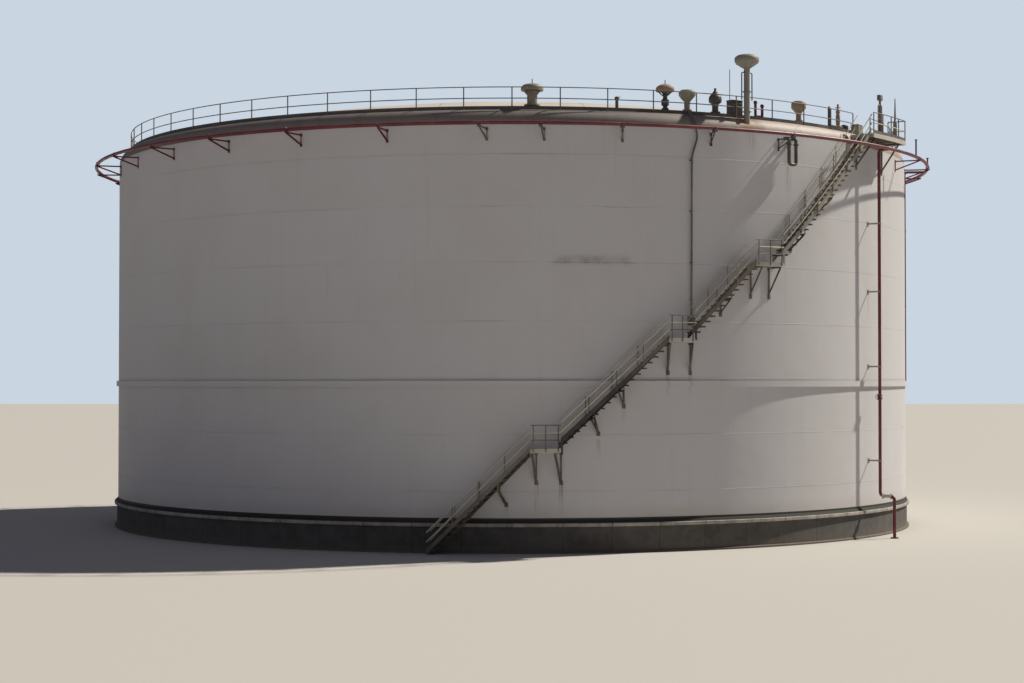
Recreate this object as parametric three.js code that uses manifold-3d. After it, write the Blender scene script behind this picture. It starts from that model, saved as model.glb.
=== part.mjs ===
// A flat-bottomed storage tank: a white steel shell with a low domed roof, on a raised concrete
// ring wall, with a stair that climbs round the shell, a red water ring main and roof fittings.
// Sizes are those of the real tank in metres; M turns them into millimetres of this 1:2 model.
// Z is up, the origin is on the tank's axis at ground level, and the stair is on the -Y side.
// Angles are degrees round the axis, zero on -Y and growing towards +X.
import * as THREE from "three";
import { mergeVertices } from "three/addons/utils/BufferGeometryUtils.js";
import Module from "manifold-3d";

const MODEL_SCALE = 0.5;
const M = 1000 * MODEL_SCALE;
const DEGREE = Math.PI / 180;
const SEAM = 0.3; // millimetres left between pieces that touch

// The round body
const FACETS = 60;
const SHELL_RADIUS = 23.0 * M;
const SHELL_BOTTOM = 1.59 * M;
const SHELL_TOP = 20.6 * M;
const SHELL_THICKNESS = 0.05 * M;
const SHELL_PLATES = 6;
const KNUCKLE_RISE = 0.75 * M;
const KNUCKLE_DEPTH = 0.75 * M;
const KNUCKLE_STEPS = 3;
const ROOF_THICKNESS = 0.06 * M;
const ROOF_RISE = 2.6 * M;
const ROOF_STEPS = 4;
const ROOF_EDGE_RADIUS = SHELL_RADIUS - KNUCKLE_DEPTH;
const ROOF_EDGE_HEIGHT = SHELL_TOP + KNUCKLE_RISE;

// The base
const KERB_RADIUS = 23.18 * M;
const KERB_HEIGHT = 0.1 * M;
const WALL_RADIUS = 23.06 * M;
const SLAB_RADIUS = 23.2 * M;
const SLAB_BOTTOM = 1.27 * M;
const SLAB_TOP = 1.44 * M;
const BOTTOM_PLATE_RADIUS = 23.08 * M;

// The stiffening ring at mid height
const STIFFENER_REACH = 0.12 * M;
const STIFFENER_BOTTOM = 7.95 * M;
const STIFFENER_TOP = 8.25 * M;

// The railing round the roof
const RAILING_RADIUS = 22.35 * M;
const RAILING_QUARTERS = 4;
const POST_SPACING = 6; // degrees
const POST_WIDTH = 0.07 * M;
const RAIL_WIDTH = 0.05 * M;
const RAILING_HEIGHT = 1.08 * M;
const TOE_PLATE_HEIGHT = 0.16 * M;
const TOE_PLATE_THICKNESS = 0.03 * M;
const ROOF_GATE = { from: 54, to: 60 }; // the span left open where the stair arrives

// The stair
const STAIR_INNER_RADIUS = 23.25 * M;
const STAIR_OUTER_RADIUS = 24.05 * M;
const STRINGER_THICKNESS = 0.05 * M;
const STRINGER_DEPTH = 0.26 * M; // measured straight down
const INNER_STRINGER_DROP = 0.3 * M; // how far the inner stringer lies below the outer one
const STRINGER_FOOT = { width: 0.1 * M, drop: 0.1 * M }; // the upright at an outer stringer's foot
const TREAD_THICKNESS = 0.04 * M;
const TREAD_GOING = 0.34 * M;
const TREAD_DROP = 0.2 * M; // from the middle of the outer stringer down to a tread
const RISER_HEIGHT = 0.27 * M;
const POST_PITCH = 1.25 * M;
const HANDRAIL_HEIGHT = 0.9 * M; // above the middle of the outer stringer
const INNER_RAIL_WIDTH = 0.04 * M;
const LANDING_RAIL_HEIGHT = 1.1 * M;
const FLOOR_THICKNESS = 0.05 * M;
const FLOOR_FRAME_DEPTH = 0.22 * M;
const LANDINGS = [
  { name: "landing_1", from: 2.1, to: 5.5, height: 5.04 * M, braceDrop: 1.45 * M,
    braces: [{ angle: 2.25, lean: 0.65 }, { angle: 4.85, lean: 1.0 }] },
  { name: "landing_2", from: 18.3, to: 21.5, height: 10.3 * M, braceDrop: 1.45 * M,
    braces: [{ angle: 18.5, lean: 0.65 }, { angle: 21.3, lean: 0.85 }] },
  { name: "landing_3", from: 29.9, to: 33.9, height: 14.08 * M, braceDrop: 1.45 * M,
    braces: [{ angle: 30.9, lean: 0 }, { angle: 33.7, lean: 0.1 }] },
];
const PLATFORM = { from: 51, to: 61, height: 21.12 * M, outerRadius: 24.2 * M, braceDrop: 1.5 * M,
  braces: [{ angle: 51.6, lean: 0 }, { angle: 59.0, lean: 0.8 }] };
const STAIR_FOOT_ANGLE = -9.7;
// How far the middle of a flight's outer stringer lies above the floors at its two ends, and where
// its brackets are. A bracket's foot leans round the wall by some degrees.
const FLIGHTS = [
  { startLift: 0.16 * M, endLift: 0, braces: [{ angle: -1.6, lean: 0.92 }] },
  { startLift: 0.35 * M, endLift: 0, braces: [{ angle: 9.4, lean: 0.97 }, { angle: 12.8, lean: 0.72 }] },
  { startLift: 0.4 * M, endLift: 0, braces: [{ angle: 26.4, lean: 0 }] },
  { startLift: 0.5 * M, endLift: 0.1 * M, braces: [{ angle: 37.5, lean: 0 }, { angle: 42.5, lean: 0 }] },
];
const FLIGHT_BRACE_DROP = 0.75 * M;
const BRACE_WIDTH = 0.08 * M;
const LANDING_RAIL_SHARES = [1, 0.68, 0.36]; // of a landing railing's height
const LANDING_POSTS = 3;
const LANDING_POST_INSET = 0.12 * M;
const PLATFORM_INNER_RADIUS = 22.7 * M;
const PLATFORM_SPANS = 4;
const PLATFORM_END_SHARE = 0.8; // how much of the platform's depth its end railing takes

// The water ring main and its risers
const MAIN_RADIUS = 24.3 * M;
const MAIN_HEIGHT = 20.45 * M;
const MAIN_PIPE = 0.09 * M; // radius of the pipe
const MAIN_BRACKETS_SEEN = [
  { angle: -3.7, lean: 0.7 },
  { angle: 3.2, lean: 0.65 },
  { angle: 12.5, lean: 0.9 },
  { angle: 23.8, lean: 1.3 },
  { angle: 35.0, lean: 0.5 },
];
const MAIN_HANGERS = [52.3, 57.4];
const MAIN_BRACKET_STEP = 11.5;
const MAIN_BRACKET_DROP = 0.5 * M;
const MAIN_UPSTANDS = [
  { angle: 65, height: 0.95 * M },
  { angle: 77, height: 0.5 * M },
];
const MAIN_ARM_WIDTH = 0.07 * M;
const HANGER = { inset: 0.06 * M, arm: 0.05 * M, rod: 0.06 * M };
const UPSTAND_PIPE = 0.045 * M;
const WALL_BITE = 0.1 * M; // how far a clip is drawn into the wall before it is trimmed
const RISER = { angle: 55, radius: 23.65 * M, footRadius: 24.45 * M, jogHeight: 2.2 * M, pipe: 0.085 * M };
const RISER_CLIPS = { heights: [16.55 * M, 12.95 * M, 9.0 * M, 4.05 * M], width: 0.08 * M };
const RISER_VALVE = { height: 7.4 * M, radius: 0.16 * M, length: 0.28 * M, stem: 0.05 * M, stemTurn: 0.9 };
const RISER_FOOT = { radius: 0.22 * M, thickness: 0.06 * M };
const SIDE_RISER = { angle: 84, radius: 23.1 * M, pipe: 0.07 * M };
const SIDE_RISER_CLIPS = { heights: [17.0 * M, 12.6 * M], width: 0.1 * M };

// The loop of pipe and the cable pipe under the roof's edge
const LOOP = { left: 36.6, right: 37.8, radius: 23.3 * M, pipe: 0.09 * M, top: 20.42 * M, bottom: 19.1 * M };
const CONDUIT = { radius: 23.12 * M, pipe: 0.05 * M };
const CONDUIT_BENDS = [ // from the knuckle down to the wall
  { angle: 22.6, radius: 22.45 * M, height: 21.55 * M },
  { angle: 22.7, radius: 23.12 * M, height: 20.85 * M },
  { angle: 23.1, radius: 23.12 * M, height: 20.15 * M },
  { angle: 22.3, radius: 23.12 * M, height: 19.2 * M },
];
const CONDUIT_CLIPS = { angle: 22.25, heights: [19.0 * M, 16.5 * M, 14.0 * M, 12.2 * M], width: 0.14 * M,
  reach: 0.14 * M, height: 0.06 * M };
const JUNCTION_BOX = { angle: 22.2, width: 0.32 * M, depth: 0.2 * M, bottom: 10.95 * M, top: 11.35 * M };

// Roof fittings: the angle and distance of each from the axis, then its own sizes
const NECK_DEPTH = 0.5 * M; // how far a neck is drawn below the roof before it is trimmed
// The round ones are turned from outlines of [radius, height] in real metres above the roof.
const VENTS = [
  { name: "mushroom_vent_1", angle: 2.6, radius: 21.65 * M, facets: 12, finish: "vent",
    outline: [[0.26, 0.78], [0.55, 0.88], [0.55, 1.04], [0.4, 1.2], [0.05, 1.2], [0.05, 1.46]] },
  { name: "mushroom_vent_2", angle: 20.3, radius: 21.75 * M, facets: 12, finish: "vent",
    outline: [[0.11, 0.3], [0.19, 0.36], [0.19, 0.62], [0.11, 0.68], [0.11, 1.02], [0.4, 1.02],
      [0.4, 1.14], [0.12, 1.42], [0.05, 1.42], [0.05, 1.62]] },
  { name: "gauge_pipe", angle: 13.4, radius: 22.05 * M, facets: 8, finish: "darkSteel",
    outline: [[0.13, 0.12], [0.08, 0.12], [0.08, 0.7]] },
  { name: "breather_vent", angle: 23.5, radius: 21.75 * M, facets: 12, finish: "vent",
    outline: [[0.15, 0.62], [0.24, 0.74], [0.4, 0.88], [0.42, 1.06], [0.3, 1.18]] },
  { name: "relief_valve", angle: 27.6, radius: 21.85 * M, facets: 12, finish: "vent",
    outline: [[0.16, 0.56], [0.32, 0.66], [0.32, 0.94], [0.1, 1.2], [0.06, 1.38]] },
  { name: "pale_vent", angle: 42.5, radius: 21.85 * M, facets: 12, finish: "tan",
    outline: [[0.14, 0.56], [0.2, 0.64], [0.37, 0.82], [0.37, 1.1], [0.26, 1.2]] },
  { name: "roof_manhole", angle: 74, radius: 19.6 * M, facets: 14, finish: "roof",
    outline: [[0.35, 0.3], [0.45, 0.3], [0.45, 0.36]] },
  { name: "centre_vent", angle: 0, radius: 0, facets: 16, finish: "vent",
    outline: [[0.3, 0.55], [0.7, 0.55], [0.7, 0.7], [0.25, 0.95]] },
];
const ANTENNA_BOX = { angle: 30.4, radius: 22.0 * M, width: 0.7 * M, depth: 0.45 * M, top: 0.85 * M,
  rod: 0.035 * M, rodTop: 2.4 * M, rodOffset: -0.3 * M };
const HYDRANTS = { angle: 34.4, radius: 22.0 * M, pipe: 0.07 * M, offsets: [-0.2 * M, 0.25 * M],
  tops: [0.95 * M, 0.8 * M], tie: { width: 0.5 * M, depth: 0.08 * M, bottom: 0.12 * M, top: 0.22 * M } };
const VALVE_SET = {
  angle: 51.2,
  radius: 21.9 * M,
  posts: [ // offset along the roof's edge, radius and top
    { offset: -0.7 * M, radius: 0.07 * M, top: 1.2 * M },
    { offset: 0.24 * M, radius: 0.12 * M, top: 1.15 * M },
    { offset: 0.24 * M, radius: 0.06 * M, top: 1.42 * M },
    { offset: 0.95 * M, radius: 0.2 * M, top: 0.44 * M },
  ],
  tie: { left: -0.7 * M, right: 0.95 * M, depth: 0.1 * M, bottom: 0.18 * M, top: 0.28 * M },
};
const EQUIPMENT = { angle: 61.5, radius: 21.4 * M, width: 0.8 * M, depth: 0.42 * M, bottom: 0.1 * M,
  top: 0.66 * M, leg: 0.06 * M, legTop: 0.2 * M, legX: 0.32 * M, legY: 0.13 * M };
const STACK = { angle: 30.9, radius: 22.75 * M, foot: 20.7 * M, facets: 12,
  outline: [[0.15, 23.7], [0.58, 24.05], [0.6, 24.28], [0.42, 24.45]] }; // heights above the ground
const STACK_RODS = { reach: 0.32 * M, width: 0.06 * M, bottom: 22.2 * M, top: 23.6 * M };
const FLOODLIGHT = { angle: 54.3, radius: 23.85 * M, mast: 0.06 * M, top: 1.95 * M, base: 0.14 * M,
  lamp: { width: 0.32 * M, depth: 0.2 * M, bottom: 1.87 * M, top: 2.18 * M } };
const HOOP = { reach: 0.21 * M, width: 0.06 * M, top: 1.67 * M };
const WHIP = { angle: 59.3, radius: 23.85 * M, foot: 0.12 * M, waist: 0.1 * M, waistHeight: 1.0 * M,
  tip: 0.03 * M, top: 2.25 * M, base: 0.18 * M };
const MAST_BASE_THICKNESS = 0.05 * M;

const tank = new THREE.Group();
const wasm = await Module();
wasm.setup();

const paint = {
  shell: { color: 0xd6d0c8, roughness: 0.55, metalness: 0 },
  roof: { color: 0xcfc5b6, roughness: 0.6, metalness: 0 },
  concrete: { color: 0x8f8b84, roughness: 0.9, metalness: 0 },
  slab: { color: 0xa39d93, roughness: 0.85, metalness: 0 },
  bitumen: { color: 0x2a2826, roughness: 0.8, metalness: 0 },
  galvanised: { color: 0x8d8c86, roughness: 0.5, metalness: 0.7 },
  red: { color: 0x7a2630, roughness: 0.5, metalness: 0 },
  darkSteel: { color: 0x55524c, roughness: 0.6, metalness: 0.3 },
  vent: { color: 0x7d776a, roughness: 0.6, metalness: 0.1 },
  tan: { color: 0x8c7862, roughness: 0.6, metalness: 0 },
};

// A point at an angle, a distance from the axis and a height.
function polar(angle, radius, height) {
  const turn = angle * DEGREE;
  return new THREE.Vector3(radius * Math.sin(turn), -radius * Math.cos(turn), height);
}

// Adds one named piece to the tank.
function addPiece(name, geometry, finish) {
  const piece = new THREE.Mesh(geometry, new THREE.MeshStandardMaterial(finish));
  piece.name = name;
  tank.add(piece);
}

// A closed mesh as a solid that can be joined and cut.
function toSolid(geometry) {
  const bare = new THREE.BufferGeometry();
  const flat = geometry.index ? geometry.toNonIndexed() : geometry;
  bare.setAttribute("position", flat.getAttribute("position"));
  const merged = mergeVertices(bare, 1e-3);
  return new wasm.Manifold(
    new wasm.Mesh({
      numProp: 3,
      vertProperties: merged.getAttribute("position").array,
      triVerts: new Uint32Array(merged.index.array),
    }),
  );
}

// The solid's surface as a geometry.
function toGeometry(solid) {
  const mesh = solid.getMesh();
  const geometry = new THREE.BufferGeometry();
  geometry.setAttribute("position", new THREE.BufferAttribute(mesh.vertProperties, 3));
  geometry.setIndex(new THREE.BufferAttribute(mesh.triVerts, 1));
  return geometry;
}

// Joins pieces into one closed body, then takes the cutters away from it.
function join(geometries, cutters = []) {
  let whole = toSolid(geometries[0]);
  for (const geometry of geometries.slice(1)) {
    whole = whole.add(toSolid(geometry));
  }
  for (const cutter of cutters) {
    whole = whole.subtract(cutter);
  }
  return toGeometry(whole);
}

// Turns a profile of [radius, height] points round the tank's axis.
function turned(profile, facets = FACETS) {
  const points = profile.map(([radius, height]) => new THREE.Vector2(radius, height));
  return new THREE.LatheGeometry(points, facets).rotateX(Math.PI / 2);
}

// Part of a round wall between two angles, with its corners on the facets of the shell.
function wallSector(innerRadius, outerRadius, from, to, bottom, top) {
  const halfSeam = SEAM / 2 / outerRadius / DEGREE;
  const step = 360 / FACETS;
  const angles = [from + halfSeam];
  for (let angle = from + step; angle < to - step / 2; angle += step) {
    angles.push(angle);
  }
  angles.push(to - halfSeam);
  const outer = angles.map((angle) => polar(angle, outerRadius, 0));
  const inner = angles.map((angle) => polar(angle, innerRadius, 0)).reverse();
  const outline = new THREE.Shape([...outer, ...inner].map((p) => new THREE.Vector2(p.x, p.y)));
  const wall = new THREE.ExtrudeGeometry(outline, { depth: top - bottom, bevelEnabled: false });
  return wall.translate(0, 0, bottom);
}

// Wraps a straight piece round the tank. The piece is drawn with x along the wall from the start
// angle, y towards the axis from the given radius, and z up.
function wrap(geometry, radius, startAngle) {
  const position = geometry.getAttribute("position");
  for (let i = 0; i < position.count; i++) {
    const turn = startAngle * DEGREE + position.getX(i) / radius;
    const reach = radius - position.getY(i);
    position.setXYZ(i, reach * Math.sin(turn), -reach * Math.cos(turn), position.getZ(i));
  }
  return geometry;
}

// A straight box from x0 to x1, in a number of steps along x, with its top and bottom rising by
// slope for each unit of x. It is drawn for wrap: depths are measured inwards.
function strip(x0, x1, outward, inward, bottom, top, steps = 1, slope = 0) {
  const box = new THREE.BoxGeometry(x1 - x0, outward + inward, top - bottom, steps, 1, 1);
  box.translate((x0 + x1) / 2, (inward - outward) / 2, (bottom + top) / 2);
  const position = box.getAttribute("position");
  for (let i = 0; i < position.count; i++) {
    position.setZ(i, position.getZ(i) + position.getX(i) * slope);
  }
  return box;
}

// A straight bar of square section between two points, with its sides level.
function bar(start, end, width) {
  const along = new THREE.Vector3().subVectors(end, start);
  const up = Math.abs(along.z) > 0.9 * along.length() ? new THREE.Vector3(start.x, start.y, 0).normalize()
    : new THREE.Vector3(0, 0, 1);
  const side = new THREE.Vector3().crossVectors(up, along).normalize();
  const rise = new THREE.Vector3().crossVectors(along, side).normalize();
  const frame = new THREE.Matrix4().makeBasis(along.clone().normalize(), side, rise);
  const box = new THREE.BoxGeometry(along.length(), width, width).applyMatrix4(frame);
  const middle = start.clone().add(end).multiplyScalar(0.5);
  return box.translate(middle.x, middle.y, middle.z);
}

// A straight round pipe between two points.
function pipe(start, end, radius, sides = 8) {
  const along = new THREE.Vector3().subVectors(end, start);
  const rod = new THREE.CylinderGeometry(radius, radius, along.length(), sides);
  const turn = new THREE.Quaternion().setFromUnitVectors(
    new THREE.Vector3(0, 1, 0),
    along.clone().normalize(),
  );
  rod.applyQuaternion(turn);
  const middle = start.clone().add(end).multiplyScalar(0.5);
  return rod.translate(middle.x, middle.y, middle.z);
}

// Straight pipes through a row of points. Each runs on past its bends by part of its radius.
function pipeRun(points, radius, sides = 6) {
  return points.slice(1).map((point, i) => {
    const along = new THREE.Vector3().subVectors(point, points[i]).setLength(radius * 0.8);
    const start = i === 0 ? points[i] : points[i].clone().sub(along);
    const end = i === points.length - 2 ? point : point.clone().add(along);
    return pipe(start, end, radius, sides);
  });
}

// A round flange with its flat faces at two heights.
function flangeAt(place, radius, thickness, sides = 12) {
  const disc = new THREE.CylinderGeometry(radius, radius, thickness, sides).rotateX(Math.PI / 2);
  return disc.translate(place.x, place.y, place.z + thickness / 2);
}

// What carries the fittings: the wall and the roof as filled shapes, a seam larger, which trim
// the feet of brackets and necks so that they lie on the plates.
const roofHeightAt = (radius) =>
  ROOF_EDGE_HEIGHT + ROOF_RISE * (1 - (radius / ROOF_EDGE_RADIUS) ** 2);
const roofCurve = [];
for (let i = 0; i <= ROOF_STEPS; i++) {
  const radius = ROOF_EDGE_RADIUS * (1 - i / ROOF_STEPS);
  roofCurve.push([radius, roofHeightAt(radius)]);
}
const knuckleCurve = [];
for (let i = 0; i <= KNUCKLE_STEPS; i++) {
  const turn = (i / KNUCKLE_STEPS) * (Math.PI / 2);
  knuckleCurve.push([
    SHELL_RADIUS - KNUCKLE_DEPTH * (1 - Math.cos(turn)),
    SHELL_TOP + KNUCKLE_RISE * Math.sin(turn),
  ]);
}
const wallFill = toSolid(
  turned([[0, 0], [SHELL_RADIUS + SEAM, 0], [SHELL_RADIUS + SEAM, SHELL_TOP], [0, SHELL_TOP]]),
);
const crownFill = toSolid(
  turned([
    [0, SHELL_TOP],
    ...knuckleCurve.map(([radius, height]) => [radius + SEAM, height + SEAM]),
    ...roofCurve.slice(1).map(([radius, height]) => [radius, height + SEAM]),
  ]),
);
const bodyFill = wallFill.add(crownFill);

// The concrete base: a ring wall with a kerb at its foot, and the slab that overhangs it.
addPiece(
  "foundation_wall",
  turned([
    [0, 0],
    [KERB_RADIUS, 0],
    [KERB_RADIUS, KERB_HEIGHT],
    [WALL_RADIUS, KERB_HEIGHT],
    [WALL_RADIUS, SLAB_BOTTOM - SEAM],
    [0, SLAB_BOTTOM - SEAM],
  ]),
  paint.concrete,
);
addPiece(
  "base_slab",
  turned([
    [0, SLAB_BOTTOM],
    [SLAB_RADIUS, SLAB_BOTTOM],
    [SLAB_RADIUS, SLAB_TOP],
    [0, SLAB_TOP],
  ]),
  paint.slab,
);
addPiece(
  "bottom_plate",
  turned([
    [0, SLAB_TOP + SEAM],
    [BOTTOM_PLATE_RADIUS, SLAB_TOP + SEAM],
    [BOTTOM_PLATE_RADIUS, SHELL_BOTTOM - SEAM],
    [0, SHELL_BOTTOM - SEAM],
  ]),
  paint.bitumen,
);

// The shell, in sectors round the tank.
for (let i = 0; i < SHELL_PLATES; i++) {
  const span = 360 / SHELL_PLATES;
  addPiece(
    `shell_sector_${i + 1}`,
    wallSector(
      SHELL_RADIUS - SHELL_THICKNESS,
      SHELL_RADIUS,
      i * span,
      (i + 1) * span,
      SHELL_BOTTOM,
      SHELL_TOP,
    ),
    paint.shell,
  );
}
addPiece(
  "stiffening_ring",
  turned([
    [SHELL_RADIUS + SEAM, STIFFENER_BOTTOM],
    [SHELL_RADIUS + STIFFENER_REACH, STIFFENER_BOTTOM],
    [SHELL_RADIUS + STIFFENER_REACH, STIFFENER_TOP],
    [SHELL_RADIUS + SEAM, STIFFENER_TOP],
    [SHELL_RADIUS + SEAM, STIFFENER_BOTTOM],
  ]),
  paint.shell,
);

// The rounded edge of the roof, and the low dome inside it.
const knuckleInside = [
  [ROOF_EDGE_RADIUS + SEAM, ROOF_EDGE_HEIGHT - ROOF_THICKNESS],
  ...knuckleCurve.slice(1, 2).map(([radius, height]) => [radius - ROOF_THICKNESS, height]),
  [SHELL_RADIUS - ROOF_THICKNESS, SHELL_TOP + SEAM],
];
const knuckleOutside = knuckleCurve.map(([radius, height]) => [radius, height]);
knuckleOutside[0][1] = SHELL_TOP + SEAM;
knuckleOutside[knuckleOutside.length - 1][0] = ROOF_EDGE_RADIUS + SEAM;
addPiece(
  "roof_knuckle",
  turned([...knuckleOutside, ...knuckleInside, knuckleOutside[0]]),
  paint.roof,
);
addPiece(
  "roof_dome",
  turned([
    ...roofCurve,
    ...roofCurve
      .filter((point, i) => i > 0 && i % 2 === 0)
      .reverse()
      .map(([radius, height]) => [radius, height - ROOF_THICKNESS]),
    [ROOF_EDGE_RADIUS, ROOF_EDGE_HEIGHT - ROOF_THICKNESS],
    roofCurve[0],
  ]),
  paint.roof,
);

// The railing on the roof's edge, with its toe plate, in quarters. Each quarter has its first
// post, and its rails reach the next quarter's first post.
function railingQuarter(start) {
  const span = POST_SPACING * DEGREE * RAILING_RADIUS;
  const posts = 360 / RAILING_QUARTERS / POST_SPACING;
  const footing = ROOF_EDGE_HEIGHT - TOE_PLATE_HEIGHT;
  const top = ROOF_EDGE_HEIGHT + RAILING_HEIGHT;
  const pieces = [];
  const gate = (ROOF_GATE.from - start) / POST_SPACING;
  for (let i = 0; i < posts; i++) {
    const x = i * span;
    pieces.push(strip(x - RAIL_WIDTH / 2, x + RAIL_WIDTH / 2, RAIL_WIDTH * 0.4, RAIL_WIDTH * 0.4,
      ROOF_EDGE_HEIGHT + TOE_PLATE_HEIGHT * 0.9, top - RAIL_WIDTH / 2));
  }
  const rails = [
    [top - RAIL_WIDTH, top, RAIL_WIDTH],
    [top - RAILING_HEIGHT / 2 - RAIL_WIDTH, top - RAILING_HEIGHT / 2, RAIL_WIDTH],
    [footing, ROOF_EDGE_HEIGHT + TOE_PLATE_HEIGHT, TOE_PLATE_THICKNESS * 2],
  ];
  rails.forEach(([bottom, height, width], index) => {
    const isToePlate = index === rails.length - 1;
    const hasGate = gate >= 0 && gate < posts && !isToePlate;
    const runs = hasGate ? [[0, gate], [gate + 1, posts]] : [[0, posts]];
    for (const [from, to] of runs) {
      const start = from === 0 ? -RAIL_WIDTH / 2 : from * span - RAIL_WIDTH / 2;
      const end = to === posts ? to * span - RAIL_WIDTH / 2 - SEAM : to * span + RAIL_WIDTH / 2;
      pieces.push(strip(start, end, width / 2, width / 2, bottom, height, to - from));
    }
  });
  return join(pieces.map((piece) => wrap(piece, RAILING_RADIUS, start)), [bodyFill]);
}
for (let i = 0; i < RAILING_QUARTERS; i++) {
  addPiece(`roof_railing_${i + 1}`, railingQuarter((i * 360) / RAILING_QUARTERS), paint.galvanised);
}

// A bracket from the shell: a level arm, and a strut that meets the wall lower down. The roots of
// both are some degrees further round the wall than the arm's end.
function wallBracket(angle, reach, height, drop, width, lean = 0, armLean = lean) {
  const root = SHELL_RADIUS - width;
  const strut = width * 0.8;
  return [
    bar(polar(angle + armLean, root, height), polar(angle, reach, height), width),
    bar(polar(angle + lean, root, height - drop), polar(angle, reach - width / 2, height), strut),
  ];
}

// The upright that ties a bracket's arm and strut together along the wall.
function bracketUpright(angle, height, drop, width, lean) {
  const back = SHELL_RADIUS + width / 4;
  return bar(polar(angle, back, height), polar(angle + lean, back, height - drop + width), width / 2);
}

// The stair: flights between landings. A flight is drawn along the middle of its outer stringer,
// which has a start and an end height. The inner stringer lies lower, and the treads reach from
// one to the other: their front ends lie in the outer stringer, and their backs show below it.
const stairWidth = STAIR_OUTER_RADIUS - STAIR_INNER_RADIUS;
function flightLine(from, to, start, end) {
  const run = (to - from) * DEGREE * STAIR_OUTER_RADIUS;
  return { from, run, start, rise: end - start, slope: (end - start) / run,
    spans: Math.round(run / POST_PITCH) };
}
function flight(line, floor, braces, cutters) {
  const { from, run, start, rise, slope, spans } = line;
  const halfDepth = STRINGER_DEPTH / 2;
  const stringer = (outward, inward, drop) =>
    strip(SEAM, run - SEAM, outward, inward, start - drop - halfDepth, start - drop + halfDepth,
      spans, slope);
  const pieces = [
    stringer(0, STRINGER_THICKNESS, 0),
    stringer(STRINGER_THICKNESS - stairWidth, stairWidth, INNER_STRINGER_DROP),
    strip(SEAM, STRINGER_FOOT.width, 0, STRINGER_THICKNESS, floor - STRINGER_FOOT.drop, start),
  ];
  const treads = Math.round(rise / RISER_HEIGHT);
  for (let i = 0; i < treads; i++) {
    const x = ((i + 0.5) * run) / treads;
    const height = start + slope * x - TREAD_DROP;
    const inset = STRINGER_THICKNESS / 2;
    const [front, back] = [Math.max(x - TREAD_GOING / 2, SEAM), Math.min(x + TREAD_GOING / 2, run - SEAM)];
    pieces.push(strip(front, back, -inset, stairWidth - inset, height - TREAD_THICKNESS, height));
  }
  const wrapped = pieces.map((piece) => wrap(piece, STAIR_OUTER_RADIUS, from));
  const reach = STAIR_OUTER_RADIUS - STRINGER_THICKNESS / 2;
  for (const { angle, lean } of braces) {
    const height = start + slope * (angle - from) * DEGREE * STAIR_OUTER_RADIUS;
    const arm = height - INNER_STRINGER_DROP - halfDepth + BRACE_WIDTH / 4;
    wrapped.push(
      ...wallBracket(angle, reach, arm, FLIGHT_BRACE_DROP, BRACE_WIDTH, lean, 0),
      bracketUpright(angle, arm, FLIGHT_BRACE_DROP, BRACE_WIDTH, lean),
      bar(polar(angle, reach, arm), polar(angle, reach, height), STRINGER_THICKNESS),
    );
  }
  return join(wrapped, [wallFill, ...cutters]);
}

// A handrail along a flight: its posts stand on the outer face of the outer stringer, or on the
// wall face of the inner one.
function flightHandrail(line, isInner) {
  const { from, run, start, slope, spans } = line;
  const postWidth = isInner ? INNER_RAIL_WIDTH : POST_WIDTH;
  const railWidth = isInner ? INNER_RAIL_WIDTH : RAIL_WIDTH;
  const face = isInner ? -stairWidth - SEAM - postWidth : SEAM;
  const middle = face + postWidth / 2;
  const foot = isInner ? INNER_STRINGER_DROP : STRINGER_DEPTH / 4;
  const pieces = [];
  for (let i = 1; i < spans; i++) {
    const x = (i * run) / spans;
    const height = start + slope * x;
    pieces.push(
      strip(x - postWidth / 2, x + postWidth / 2, face + postWidth, -face, height - foot,
        height + HANDRAIL_HEIGHT),
    );
  }
  for (const height of [HANDRAIL_HEIGHT, HANDRAIL_HEIGHT / 2]) {
    pieces.push(
      strip(SEAM, run - SEAM, middle + railWidth / 2, railWidth / 2 - middle,
        start + height - railWidth, start + height, spans, slope),
    );
  }
  return join(pieces.map((piece) => wrap(piece, STAIR_OUTER_RADIUS, from)));
}

// The floor of a landing on its frame, with the brackets that carry it.
function landingFloor(landing, innerRadius, outerRadius) {
  const width = outerRadius - innerRadius;
  const run = (landing.to - landing.from) * DEGREE * outerRadius;
  const steps = Math.round((landing.to - landing.from) / 2);
  const frame = STRINGER_THICKNESS;
  const under = landing.height - FLOOR_FRAME_DEPTH;
  const pieces = [
    strip(0, run, 0, width, landing.height - FLOOR_THICKNESS, landing.height, steps),
    strip(0, run, 0, frame, under, landing.height, steps),
    strip(0, run, frame - width, width, under, landing.height, steps),
    strip(0, frame, 0, width, under, landing.height),
    strip(run - frame, run, 0, width, under, landing.height),
  ].map((piece) => wrap(piece, outerRadius, landing.from));
  for (const { angle, lean } of landing.braces) {
    const arm = under + BRACE_WIDTH / 4;
    pieces.push(
      ...wallBracket(angle, outerRadius - frame / 2, arm, landing.braceDrop, BRACE_WIDTH, lean),
      bracketUpright(angle + lean, arm, landing.braceDrop, BRACE_WIDTH, 0),
    );
  }
  return pieces;
}

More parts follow.
